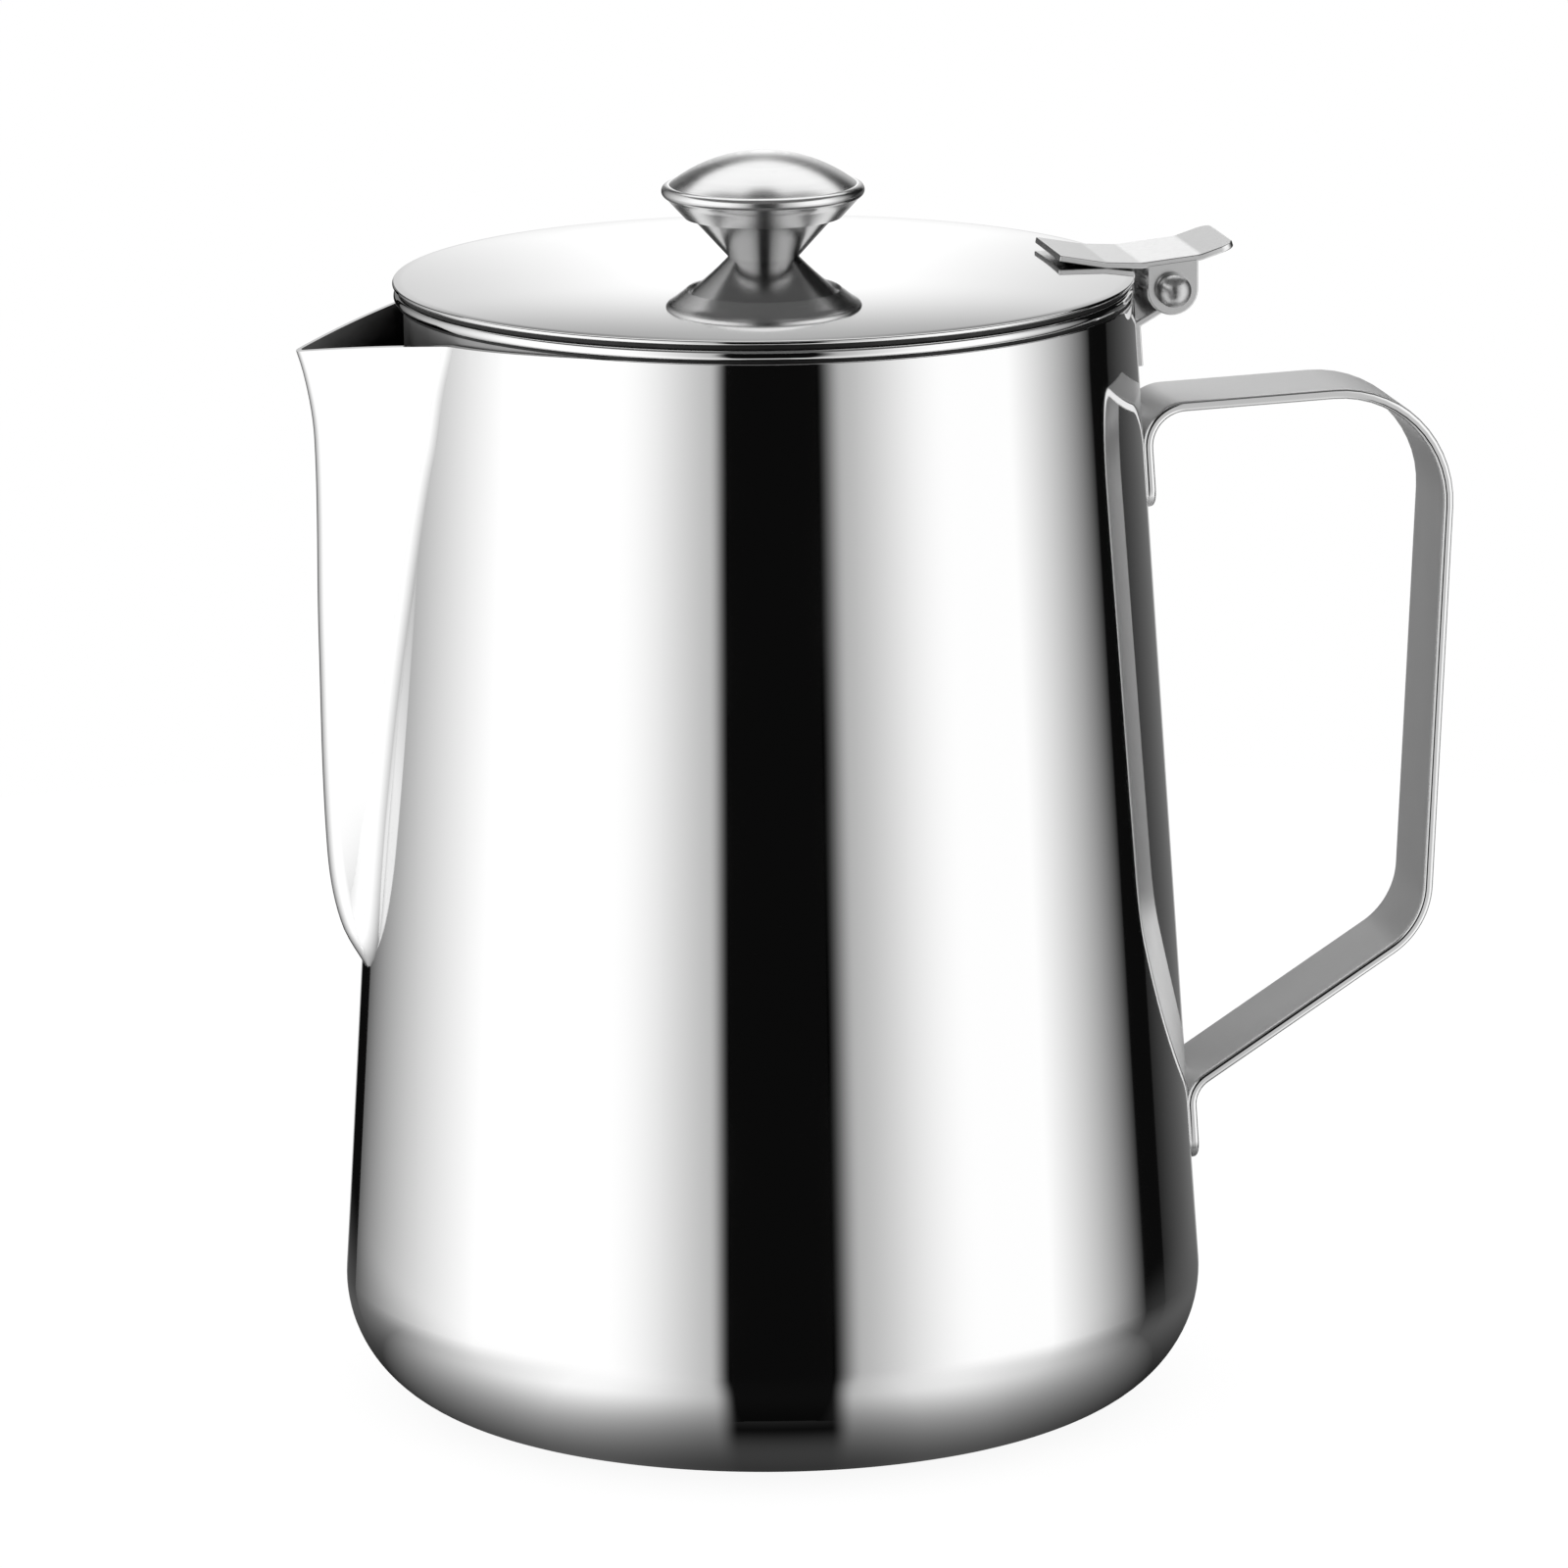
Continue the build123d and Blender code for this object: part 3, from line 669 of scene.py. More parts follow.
def keel_at(drop):
    """Reach, half angle and keel radius of the V at this drop, on a smooth curve through the stations."""
    count = len(SPOUT_STATIONS)

    def slope(index, column):
        low, high = SPOUT_STATIONS[max(index - 1, 0)], SPOUT_STATIONS[min(index + 1, count - 1)]
        return (high[column] - low[column]) / (high[0] - low[0])

    first = min(sum(drop >= station[0] for station in SPOUT_STATIONS[1:]), count - 2)
    low, high = SPOUT_STATIONS[first], SPOUT_STATIONS[first + 1]
    span = high[0] - low[0]
    share = min(max((drop - low[0]) / span, 0), 1)
    beyond = drop - low[0] - share * span
    values = []
    for column in (1, 2, 3):
        out, into = slope(first, column), slope(first + 1, column)
        value = (
            low[column] * (2 * share**3 - 3 * share**2 + 1)
            + high[column] * (3 * share**2 - 2 * share**3)
            + span * out * (share**3 - 2 * share**2 + share)
            + span * into * (share**3 - share**2)
        )
        values.append(value + beyond * (out if beyond < 0 else into))
    return values[0] * MM, math.radians(values[1]), values[2] * MM


def spout_form(shape, inset, ends, root_x):
    """Closed V of the spout, drawn in by inset, between two drops in millimetres."""

    def outline(bm, drop):
        reach, half_angle, keel = keel_at(drop)
        z = shape.body.height - drop * MM
        nose = keel - inset
        centre_x = -(shape.wall(z) + reach - keel)
        side = Vector((centre_x - nose * math.sin(half_angle), nose * math.cos(half_angle), z))
        root = Vector((root_x, side.y + (root_x - side.x) * math.tan(half_angle), z))
        first = bm.verts.new(root)
        vert = stretch(bm, first, root, side, 8)
        vert = spun(bm, vert, (centre_x, 0, z), (0, 0, 1), math.pi - 2 * half_angle, 14)
        vert = stretch(bm, vert, Vector((side.x, -side.y, z)), Vector((root.x, -root.y, z)), 8)
        close_outline(bm, vert, first)
        return z

    return lofted(outline, ends, SPOUT_LEVELS)


def weld_section(shape, drop):
    """Centre of the +Y weld's fillet at this drop, and where it touches the spout and the wall."""
    reach, half_angle, keel = keel_at(drop)
    wall, fillet = shape.wall(shape.body.height - drop * MM), shape.spout.weld
    nose = Vector((-(wall + reach - keel), 0))
    along = Vector((math.cos(half_angle), math.sin(half_angle)))
    out = Vector((-along.y, along.x))
    start = nose + (keel + fillet) * out
    middle = start.dot(along)
    run = -middle - math.sqrt(middle**2 - start.length_squared + (wall + fillet) ** 2)
    if run > 0:
        centre = start + run * along
        return centre, centre - fillet * out, centre * wall / (wall + fillet)
    # Lower down, the fillet touches the rounded keel itself
    gap = nose.length
    over = (gap**2 + (wall + fillet) ** 2 - (keel + fillet) ** 2) / (2 * gap)
    centre = Vector((-over, math.sqrt(max((wall + fillet) ** 2 - over**2, 0))))
    return centre, nose + (centre - nose) * keel / (keel + fillet), centre * wall / (wall + fillet)


def weld_form(shape):
    """Closed strip of weld metal that fills the corner between spout and wall, on the +Y side."""

    def outline(bm, drop):
        z = shape.body.height - drop * MM
        centre, spout_end, wall_end = weld_section(shape, drop)
        sweep = (spout_end - centre).angle_signed(wall_end - centre)
        first = bm.verts.new((spout_end.x, spout_end.y, z))
        last = spun(bm, first, (centre.x, centre.y, z), (0, 0, 1), -sweep, 10)
        inward = ((spout_end + wall_end) / 2 - centre).normalized()
        corner = centre + inward * ((wall_end - centre).length / math.cos(sweep / 2) + shape.spout.sheet / 4)
        root = bmesh.ops.extrude_vert_indiv(bm, verts=[last])["verts"][0]
        root.co = (corner.x, corner.y, z)
        close_outline(bm, root, first)
        return z

    return lofted(outline, WELD_ENDS, WELD_LEVELS)


def spout_channel(shape):
    """Inside of the spout, carried on a little past its ends so that it cuts cleanly."""
    root_x = MM - shape.body.rim_radius + shape.spout.inner_reach
    return spout_form(shape, shape.spout.sheet, CHANNEL_ENDS, root_x)


def above_lip(shape):
    """Space above an arc that leaves the rim level and falls by the dip at the spout's tip."""
    body, spout = shape.body, shape.spout
    start_x = spout.run_in - body.rim_radius
    tip_x = -(body.rim_radius + SPOUT_STATIONS[0][1] * MM)
    run = start_x - tip_x
    bow = (run**2 + spout.dip**2) / (2 * spout.dip)
    halfway = math.asin(run / bow) / 2
    middle = (start_x - bow * math.sin(halfway), body.height - bow + bow * math.cos(halfway))
    tip_z, top_z = body.height - spout.dip, body.height + LIP_RISE
    bm = bmesh.new()
    first = bm.verts.new((start_x, 0, body.height))
    vert = arc_to(bm, first, middle, (tip_x, tip_z), 40)
    vert = run_to(bm, vert, (tip_x - LIP_OUT, tip_z), (tip_x - LIP_OUT, top_z), (start_x, top_z))
    close_outline(bm, vert, first)
    slab(bm, -body.rim_radius, body.rim_radius)
    return bm


class JUG_OT_body(Operator):
    """Drawn body with its rounded foot, raw rim and the opening behind the spout"""

    bl_idname = "jug.body"
    bl_label = "Body"

    def execute(self, context):
        shape = JugShape(context.scene)
        body = shape.body
        bm = bmesh.new()
        rims = [body_outline(bm, shape, inset, body.height) for inset in (0.0, body.sheet)]
        close_outline(bm, *rims)
        bmesh.ops.bevel(
            bm, geom=rims, affect="VERTICES", offset=body.rim_round, offset_type="OFFSET", segments=4,
            profile=0.5, material=-1,
        )
        turned(bm, JUG_STEPS)
        bm = cut_away(bm, spout_channel(shape), above_lip(shape))
        for face in bm.faces:
            middle = face.calc_center_median()
            inward = face.normal.x * middle.x + face.normal.y * middle.y < 0
            face.material_index = int(inward or face.normal.z > 0.5 and middle.z < body.height / 2)
        finish = [mirror_polished_steel(shape.finishes), drawn_inside_steel(shape.finishes)]
        finish_piece(bm, "polished_body", "jug", finish, ["body_shell"])
        return {"FINISHED"}


class JUG_OT_spout(Operator):
    """Pressed V spout, trimmed to the wall, with a lip that falls to its tip, and its two dressed welds"""

    bl_idname = "jug.spout"
    bl_label = "Spout"

    def execute(self, context):
        shape = JugShape(context.scene)
        body = shape.body
        outside = spout_form(shape, 0.0, SPOUT_ENDS, shape.spout.inner_reach - body.rim_radius)
        jug = bmesh.new()
        rim = body_outline(jug, shape, 0.0, body.height + TRIM_RISE)
        run_to(jug, rim, (0, body.height + TRIM_RISE))
        turned(jug, JUG_STEPS)
        bm = cut_away(outside, spout_channel(shape), jug, above_lip(shape))
        for face in bm.faces:
            face.material_index = int(face.normal.x > 0.05 and face.normal.z < 0.7)
        finish = [mirror_polished_steel(shape.finishes), drawn_inside_steel(shape.finishes)]
        finish_piece(bm, "pressed_spout", "jug", finish, ["spout"])
        for name, side in (("far_spout_weld", 1), ("near_spout_weld", -1)):
            bm = weld_form(shape)
            bmesh.ops.scale(bm, verts=bm.verts, vec=(1, side, 1))
            bmesh.ops.recalc_face_normals(bm, faces=bm.faces)
            finish_piece(cut_away(bm, above_lip(shape)), name, "jug", finish[:1])
        return {"FINISHED"}


class JUG_OT_handle(Operator):
    """Bent strap handle with its two tabs, and the weld bead at the end of each"""

    bl_idname = "jug.handle"
    bl_label = "Handle"

    def execute(self, context):
        shape = JugShape(context.scene)
        body, handle = shape.body, shape.handle
        half = handle.width / 2
        top_z = body.height - handle.drop
        top = (body.rim_radius + handle.reach, top_z + handle.top_rise)
        low = (top[0] - handle.lean, top[1] - handle.grip)
        return_z = low[1] - handle.return_drop
        upper_end, lower_end = top_z - handle.upper_tab, return_z - handle.lower_tab
        corners = [
            (shape.wall_x(upper_end, half) + handle.sheet, upper_end),
            (shape.wall_x(top_z, half) + handle.sheet, top_z),
            top,
            low,
            (shape.wall_x(return_z, half), return_z),
            (shape.wall_x(lower_end, half), lower_end),
        ]
        bends = [handle.wall_bend, handle.top_bend, handle.low_bend, handle.foot_bend]
        bm = bmesh.new()
        bent_strip(bm, corners, bends, handle.sheet, half, (handle.tab_corner, handle.tab_corner))
        # The strap's two long edges are polished
        for face in bm.faces:
            face.material_index = int(abs(face.normal.y) > 0.9)
        finish = [bright_strap_steel(shape.finishes), mirror_polished_steel(shape.finishes)]
        finish_piece(bm, "strap_handle", "jug", finish, ["handle"], handle.edge_round)
        finish = [dressed_weld_steel(shape.finishes)]
        wide = (half - handle.tab_corner) / handle.weld_radius
        for name, z in (("upper_tab_weld", upper_end), ("lower_tab_weld", lower_end)):
            bm = bmesh.new()
            bmesh.ops.create_uvsphere(bm, u_segments=24, v_segments=12, radius=handle.weld_radius)
            bmesh.ops.scale(bm, verts=bm.verts, vec=(BEAD_DEPTH, wide, 1))
            bmesh.ops.translate(bm, verts=bm.verts, vec=(shape.wall(z), 0, z))
            finish_piece(bm, name, "jug", finish)
        return {"FINISHED"}


class JUG_OT_hinge_leaf(Operator):
    """Leaf on the wall, with its web and the knuckle rolled round the rivet"""

    bl_idname = "jug.hinge_leaf"
    bl_label = "Hinge leaf"

    def execute(self, context):
        shape = JugShape(context.scene)
        body, hinge = shape.body, shape.hinge
        half = hinge.width / 2 - hinge.sheet - hinge.side_gap
        bore, wall = hinge.knuckle_bore, hinge.knuckle_wall
        knuckle = bore + wall
        foot_z, bend_z = body.height - hinge.leaf_foot, body.height - hinge.leaf_bend
        foot_x, bend_x = shape.wall_x(foot_z, half), shape.wall_x(bend_z, half)
        # The web's lower face runs from the bend to touch the knuckle from below
        bend_outer = Vector((bend_x + wall, bend_z))
        to_pin = Vector((PIN.x, PIN.z)) - bend_outer
        tilt = math.atan2(to_pin.y, to_pin.x) - math.asin(knuckle / to_pin.length)
        along = Vector((math.cos(tilt), math.sin(tilt)))
        web_end = bend_outer + math.sqrt(to_pin.length**2 - knuckle**2) * along
        web_top = web_end + wall * Vector((-along.y, along.x))
        bend_top = (bend_x - hinge.leaf_sink, bend_z + wall * (1 - along.y) / along.x)
        bm = bmesh.new()
        first = bm.verts.new((foot_x - hinge.leaf_sink, 0, foot_z))
        vert = run_to(bm, first, (foot_x + wall, foot_z), bend_outer, web_end, web_top, bend_top)
        close_outline(bm, vert, first)
        slab(bm, -half, half)
        ring = bmesh.new()
        first = ring.verts.new((bore, 0, -half))
        close_outline(ring, run_to(ring, first, (knuckle, -half), (knuckle, half), (bore, half)), first)
        turned(ring, RIVET_STEPS)
        lay_on_pin(ring)
        join(bm, ring)
        finish = [stamped_hinge_steel(shape.finishes)]
        finish_piece(bm, "hinge_leaf", "jug", finish, ["hinge_bracket"], hinge.edge_round)
        return {"FINISHED"}


class JUG_OT_lid(Operator):
    """Domed lid with its rolled edge, the bead on the rim and the skirt inside it"""

    bl_idname = "jug.lid"
    bl_label = "Lid"

    def execute(self, context):
        shape = JugShape(context.scene)
        body, lid = shape.body, shape.lid
        edge, rim = shape.lid_radius, body.height
        skirt = body.rim_radius - body.sheet - lid.skirt_gap
        inside = skirt - lid.sheet
        # The rolled edge carries on from the dome without a crease
        lie = math.asin((edge - lid.roll) / (shape.dome_radius - lid.roll))
        dome_end = (shape.dome_radius * math.sin(lie), shape.dome_centre + shape.dome_radius * math.cos(lie))
        roll_z = shape.dome_centre + (shape.dome_radius - lid.roll) * math.cos(lie)
        groove_z = roll_z - lid.roll
        bead_top = groove_z - lid.groove_height
        bead = (edge - lid.bead_inset, (bead_top + rim) / 2)
        slot_z = rim + lid.slot
        slot_end = body.rim_radius - body.sheet + body.rim_round
        skirt_z = rim - lid.skirt_depth
        under = shape.seat - lid.sheet
        bm = bmesh.new()
        first = bm.verts.new((lid.hole, 0, shape.seat))
        vert = run_to(bm, first, (shape.land, shape.seat))
        vert = arc_to(bm, vert, (edge / 2, shape.dome(edge / 2)), dome_end, 40)
        vert = arc_to(bm, vert, (edge, roll_z), (edge - lid.roll, groove_z), 12)
        vert = run_to(bm, vert, (edge - lid.groove, groove_z), (edge - lid.groove, bead_top))
        vert = arc_to(bm, vert, bead, (edge - lid.seat_inset, slot_z), 14)
        vert = run_to(bm, vert, (slot_end, slot_z), (slot_end, rim), (skirt, rim))
        vert = run_to(bm, vert, (skirt, skirt_z), parts=2)
        vert = run_to(bm, vert, (inside, skirt_z))
        vert = run_to(bm, vert, (inside, shape.dome(inside, lid.sheet)), parts=2)
        vert = arc_to(bm, vert, (edge / 2, shape.dome(edge / 2, lid.sheet)), (shape.land, under), 32)
        vert = run_to(bm, vert, (lid.hole, under))
        close_outline(bm, vert, first)
        turned(bm, JUG_STEPS)
        for face in bm.faces:
            middle = face.calc_center_median()
            fold = skirt < middle.xy.length < edge - lid.seat_inset
            groove = bead_top - MERGE < middle.z < groove_z + MERGE
            slot = rim < middle.z < slot_z + MERGE
            below = middle.xy.length < skirt + MERGE and (middle.z < rim or face.normal.z < -0.5)
            # Faces in the groove and the slot at the lid's edge take the painted shade
            face.material_index = 1 if fold and (groove or slot) else 2 if below else 0
        kinds = (mirror_polished_steel, painted_shade_seam_steel, drawn_inside_steel)
        finish = [kind(shape.finishes) for kind in kinds]
        finish_piece(bm, "domed_lid", "lid", finish, ["lid"])
        return {"FINISHED"}


class JUG_OT_thumb_lever(Operator):
    """Bent lever plate on the lid, its thumb tab and the two ears that hold the rivet"""

    bl_idname = "jug.thumb_lever"
    bl_label = "Thumb lever"

    def execute(self, context):
        shape = JugShape(context.scene)
        hinge, rim = shape.hinge, shape.body.rim_radius
        half = hinge.width / 2
        front, lift = rim - hinge.front, rim - hinge.lift
        low = Vector((rim + hinge.low_at, PIN.z + hinge.knuckle_bore + hinge.knuckle_wall + hinge.low_gap))
        knee = Vector((rim + hinge.knee, low.y + hinge.knee_climb))
        end = Vector((rim + hinge.reach, knee.y + hinge.end_climb))
        corners = [
            (front, shape.dome(front) + hinge.front_lift),
            (lift, shape.dome(lift) - hinge.sink),
            low,
            knee,
            end,
        ]
        bm = bmesh.new()
        bent_strip(bm, corners, [hinge.plate_bend] * 3, hinge.sheet, half, (0.0, hinge.corner))
        # The ears end in the middle of the plate's sheet
        left, right = PIN.x - hinge.ear_radius, PIN.x + hinge.ear_radius
        left_top, right_top = [
            low.y + (knee.y - low.y) * (x - low.x) / (knee.x - low.x) + hinge.sheet / 2 for x in (left, right)
        ]
        for near, far in ((-half, hinge.sheet - half), (half - hinge.sheet, half)):
            ear = bmesh.new()
            first = ear.verts.new((left, 0, left_top))
            vert = run_to(ear, first, (left, PIN.z))
            vert = arc_to(ear, vert, (PIN.x, PIN.z - hinge.ear_radius), (right, PIN.z), 32)
            vert = run_to(ear, vert, (right, right_top))
            close_outline(ear, vert, first)
            slab(ear, near, far)
            join(bm, ear)
        finish = [stamped_hinge_steel(shape.finishes)]
        finish_piece(bm, "lever_plate", "lid", finish, ["thumb_lever"], hinge.edge_round)
        return {"FINISHED"}


class JUG_OT_rivet(Operator):
    """Hinge rivet with a ball head outside each ear"""

    bl_idname = "jug.rivet"
    bl_label = "Hinge rivet"

    def execute(self, context):
        hinge = context.scene.jug_hinge
        half, pin, ball = hinge.width / 2, hinge.pin_radius, hinge.head_radius
        face = math.sqrt(ball**2 - hinge.head_offset**2)
        middle = half + hinge.head_offset
        bm = bmesh.new()
        vert = bm.verts.new((0, 0, middle + ball))
        vert = arc_to(bm, vert, (ball, middle), (face, half), 24)
        vert = run_to(bm, vert, (pin, half))
        vert = run_to(bm, vert, (pin, -half), parts=4)
        vert = run_to(bm, vert, (face, -half))
        arc_to(bm, vert, (ball, -middle), (0, -middle - ball), 24)
        turned(bm, RIVET_STEPS)
        lay_on_pin(bm)
        finish = [plain_fastener_steel(context.scene.jug_finishes)]
        finish_piece(bm, "hinge_rivet", "lid", finish, ["hinge_pin"])
        return {"FINISHED"}


class JUG_OT_knob(Operator):
    """Knob: crown with a beaded edge, folded in as a band under the rim of a spun cone"""

    bl_idname = "jug.knob"
    bl_label = "Knob"

    def execute(self, context):
        shape = JugShape(context.scene)
        knob, hole, on_cone = shape.knob, shape.lid.hole, shape.on_cone
        cone_top = shape.cone_run - 2 * knob.sheet
        bm = bmesh.new()
        first = bm.verts.new((hole, 0, shape.seat))
        vert = run_to(bm, first, on_cone(0, 0))
        vert = run_to(bm, vert, on_cone(cone_top, 0), parts=8)
        vert = run_to(bm, vert, on_cone(cone_top, -knob.sheet))
        vert = run_to(bm, vert, shape.cone_floor, parts=4)
        vert = run_to(bm, vert, (hole, shape.seat + knob.sheet))
        close_outline(bm, vert, first)
        turned(bm, KNOB_STEPS)
        finish = [satin_knob_steel("satin_stem_steel", shape.finishes.stem, 0.19, 0.205)]
        finish_piece(bm, "knob_stem", "lid", finish, ["knob_cone"])

        lift = knob.bead * math.cos(knob.crease)
        crease = (knob.radius - knob.bead - knob.bead * math.sin(knob.crease), shape.cap_edge + lift)
        rise = knob.rise - lift
        ball = (crease[0] ** 2 + rise**2) / (2 * rise)
        centre_z = shape.cap_edge + knob.rise - ball

        def crown(r, inset=0.0):
            return (r, centre_z + math.sqrt((ball - inset) ** 2 - r**2))

        proud = knob.fold_gap + knob.sheet
        band_low = shape.cone_run - knob.band
        inner = on_cone(cone_top, knob.fold_gap)
        bm = bmesh.new()
        vert = bm.verts.new((0, 0, crown(0)[1]))
        vert = arc_to(bm, vert, crown(knob.radius / 2), crease, 28)
        band_top = on_cone(shape.cone_run - knob.sheet, proud)
        vert = arc_to(bm, vert, (knob.radius, shape.cap_edge), band_top, 16)
        vert = run_to(bm, vert, on_cone(band_low, proud), parts=3)
        vert = run_to(bm, vert, on_cone(band_low, knob.fold_gap))
        vert = run_to(bm, vert, inner, parts=3)
        vert = run_to(bm, vert, crown(inner.x, knob.sheet))
        arc_to(bm, vert, crown(knob.radius / 2, knob.sheet), crown(0, knob.sheet), 16)
        turned(bm, KNOB_STEPS)
        finish = [satin_knob_steel("satin_crown_steel", shape.finishes.mirror, 0.2, 0.26)]
        finish_piece(bm, "knob_crown", "lid", finish, ["knob_cap"])
        return {"FINISHED"}


class JUG_OT_fasteners(Operator):
    """Nut inside the knob, washer and screw below the lid"""

    bl_idname = "jug.fasteners"
    bl_label = "Knob fasteners"

    def execute(self, context):
        shape = JugShape(context.scene)
        knob, hole = shape.knob, shape.lid.hole
        finish = [plain_fastener_steel(shape.finishes)]
        floor = shape.seat + knob.sheet

        def column(sides, radius, depth, middle_z):
            bm = bmesh.new()
            bmesh.ops.create_cone(
                bm, cap_ends=True, segments=sides, radius1=radius, radius2=radius, depth=depth
            )
            bmesh.ops.translate(bm, verts=bm.verts, vec=(0, 0, middle_z))
            return bm

        nut = column(6, shape.cone_floor.x - knob.nut_gap, knob.nut_height, floor + knob.nut_height / 2)
        bore = column(48, knob.screw_radius + BORE_GAP, 4 * knob.nut_height, floor)
        bm = cut_away(nut, bore)
        finish_piece(bm, "knob_hex_nut", "lid", finish, ["knob_nut"], NUT_ROUND)

        edge, low = knob.head_radius + knob.washer_margin, shape.washer_low
        high = low + knob.washer
        bm = bmesh.new()
        first = bm.verts.new((hole, 0, low))
        close_outline(bm, run_to(bm, first, (edge, low), (edge, high), (hole, high)), first)
        turned(bm, SCREW_STEPS)
        finish_piece(bm, "knob_plain_washer", "lid", finish, ["knob_washer"], WASHER_ROUND)

        head, corner = knob.head_radius, knob.head_round
        head_low = low - knob.head_height
        slant = math.sqrt(0.5) * corner
        shank_top = floor + knob.nut_height + knob.tip
        bm = bmesh.new()
        vert = run_to(bm, bm.verts.new((0, 0, head_low)), (head - corner, head_low), parts=3)
        halfway = (head - corner + slant, head_low + corner - slant)
        vert = arc_to(bm, vert, halfway, (head, head_low + corner), 8)
        vert = run_to(bm, vert, (head, low), (knob.screw_radius, low))
        vert = run_to(bm, vert, (knob.screw_radius, shank_top), parts=4)
        run_to(bm, vert, (0, shank_top))
        turned(bm, SCREW_STEPS)
        # Cross recess in the head
        arms = []
        for turn in (0.0, math.pi / 2):
            arm = bmesh.new()
            bmesh.ops.create_cube(arm, size=1.0)
            bmesh.ops.scale(arm, verts=arm.verts, vec=(RECESS[0] * head, RECESS[1] * head, knob.head_height))
            bmesh.ops.rotate(arm, verts=arm.verts, matrix=Matrix.Rotation(turn, 3, "Z"))
            bmesh.ops.translate(arm, verts=arm.verts, vec=(0, 0, head_low))
            arms.append(arm)
        finish_piece(cut_away(bm, *arms), "knob_pan_screw", "lid", finish, ["knob_screw"])
        return {"FINISHED"}


def azimuth_and_height(tree, place):
    """Sockets of the azimuth round the jug, as the camera's is counted, and of the height."""
    axes = add_node(tree, "ShaderNodeSeparateXYZ", {"Vector": place}).outputs
    back = add_node(tree, "ShaderNodeMath", {0: axes["Y"], 1: -1.0}, operation="MULTIPLY")
    azimuth = add_node(tree, "ShaderNodeMath", {0: axes["X"], 1: back.outputs["Value"]}, operation="ARCTAN2")
    return azimuth.outputs["Value"], axes["Z"]


def dimmed(tree, glow, value, blend, start, end, share_start, share_end):
    """Socket of a light that is scaled by a share of it, which runs along a value."""
    if start > end:
        start, end, share_start, share_end = end, start, share_end, share_start
    share = add_node(
        tree, "ShaderNodeMapRange", ramp(value, start, end, share_start, share_end), interpolation_type=blend
    )
    scaled = add_node(tree, "ShaderNodeMath", {0: share.outputs["Result"], 1: glow}, operation="MULTIPLY")
    return scaled.outputs["Value"]


def card_light(name, studio, strength, ramps):
    """Light of a softbox or a dark card, which each ramp scales."""
    # Even light, softened towards the card's edges
    material, tree, place = new_material(name)
    azimuth, height = azimuth_and_height(tree, place)
    glow = strength
    for axis, blend, start, end, share_start, share_end in ramps:
        if axis == "azimuth":
            value, bounds = azimuth, [math.radians(bound) + studio.azimuth for bound in (start, end)]
        else:
            value, bounds = height, [start * MM, end * MM]
        glow = dimmed(tree, glow, value, blend, *bounds, share_start, share_end)
    light = add_node(tree, "ShaderNodeEmission", {"Strength": glow})
    add_node(tree, "ShaderNodeOutputMaterial", {"Surface": light.outputs["Emission"]})
    return material


def card(name, light, studio, start, end, near, far):
    """Studio card: a line from one radius and height to another, swept round the jug between two azimuths."""
    bm = bmesh.new()
    start, end = math.radians(start) + studio.azimuth, math.radians(end) + studio.azimuth
    ends = [Vector((out * math.sin(start), -out * math.cos(start), z)) for out, z in (near, far)]
    stretch(bm, bm.verts.new(ends[0]), *ends, 1)
    bmesh.ops.spin(bm, geom=bm.verts[:] + bm.edges[:], axis=(0, 0, 1), angle=end - start, steps=48)
    panel = place_object(bm, name, [light])
    panel.visible_camera = False
    panel.visible_diffuse = False


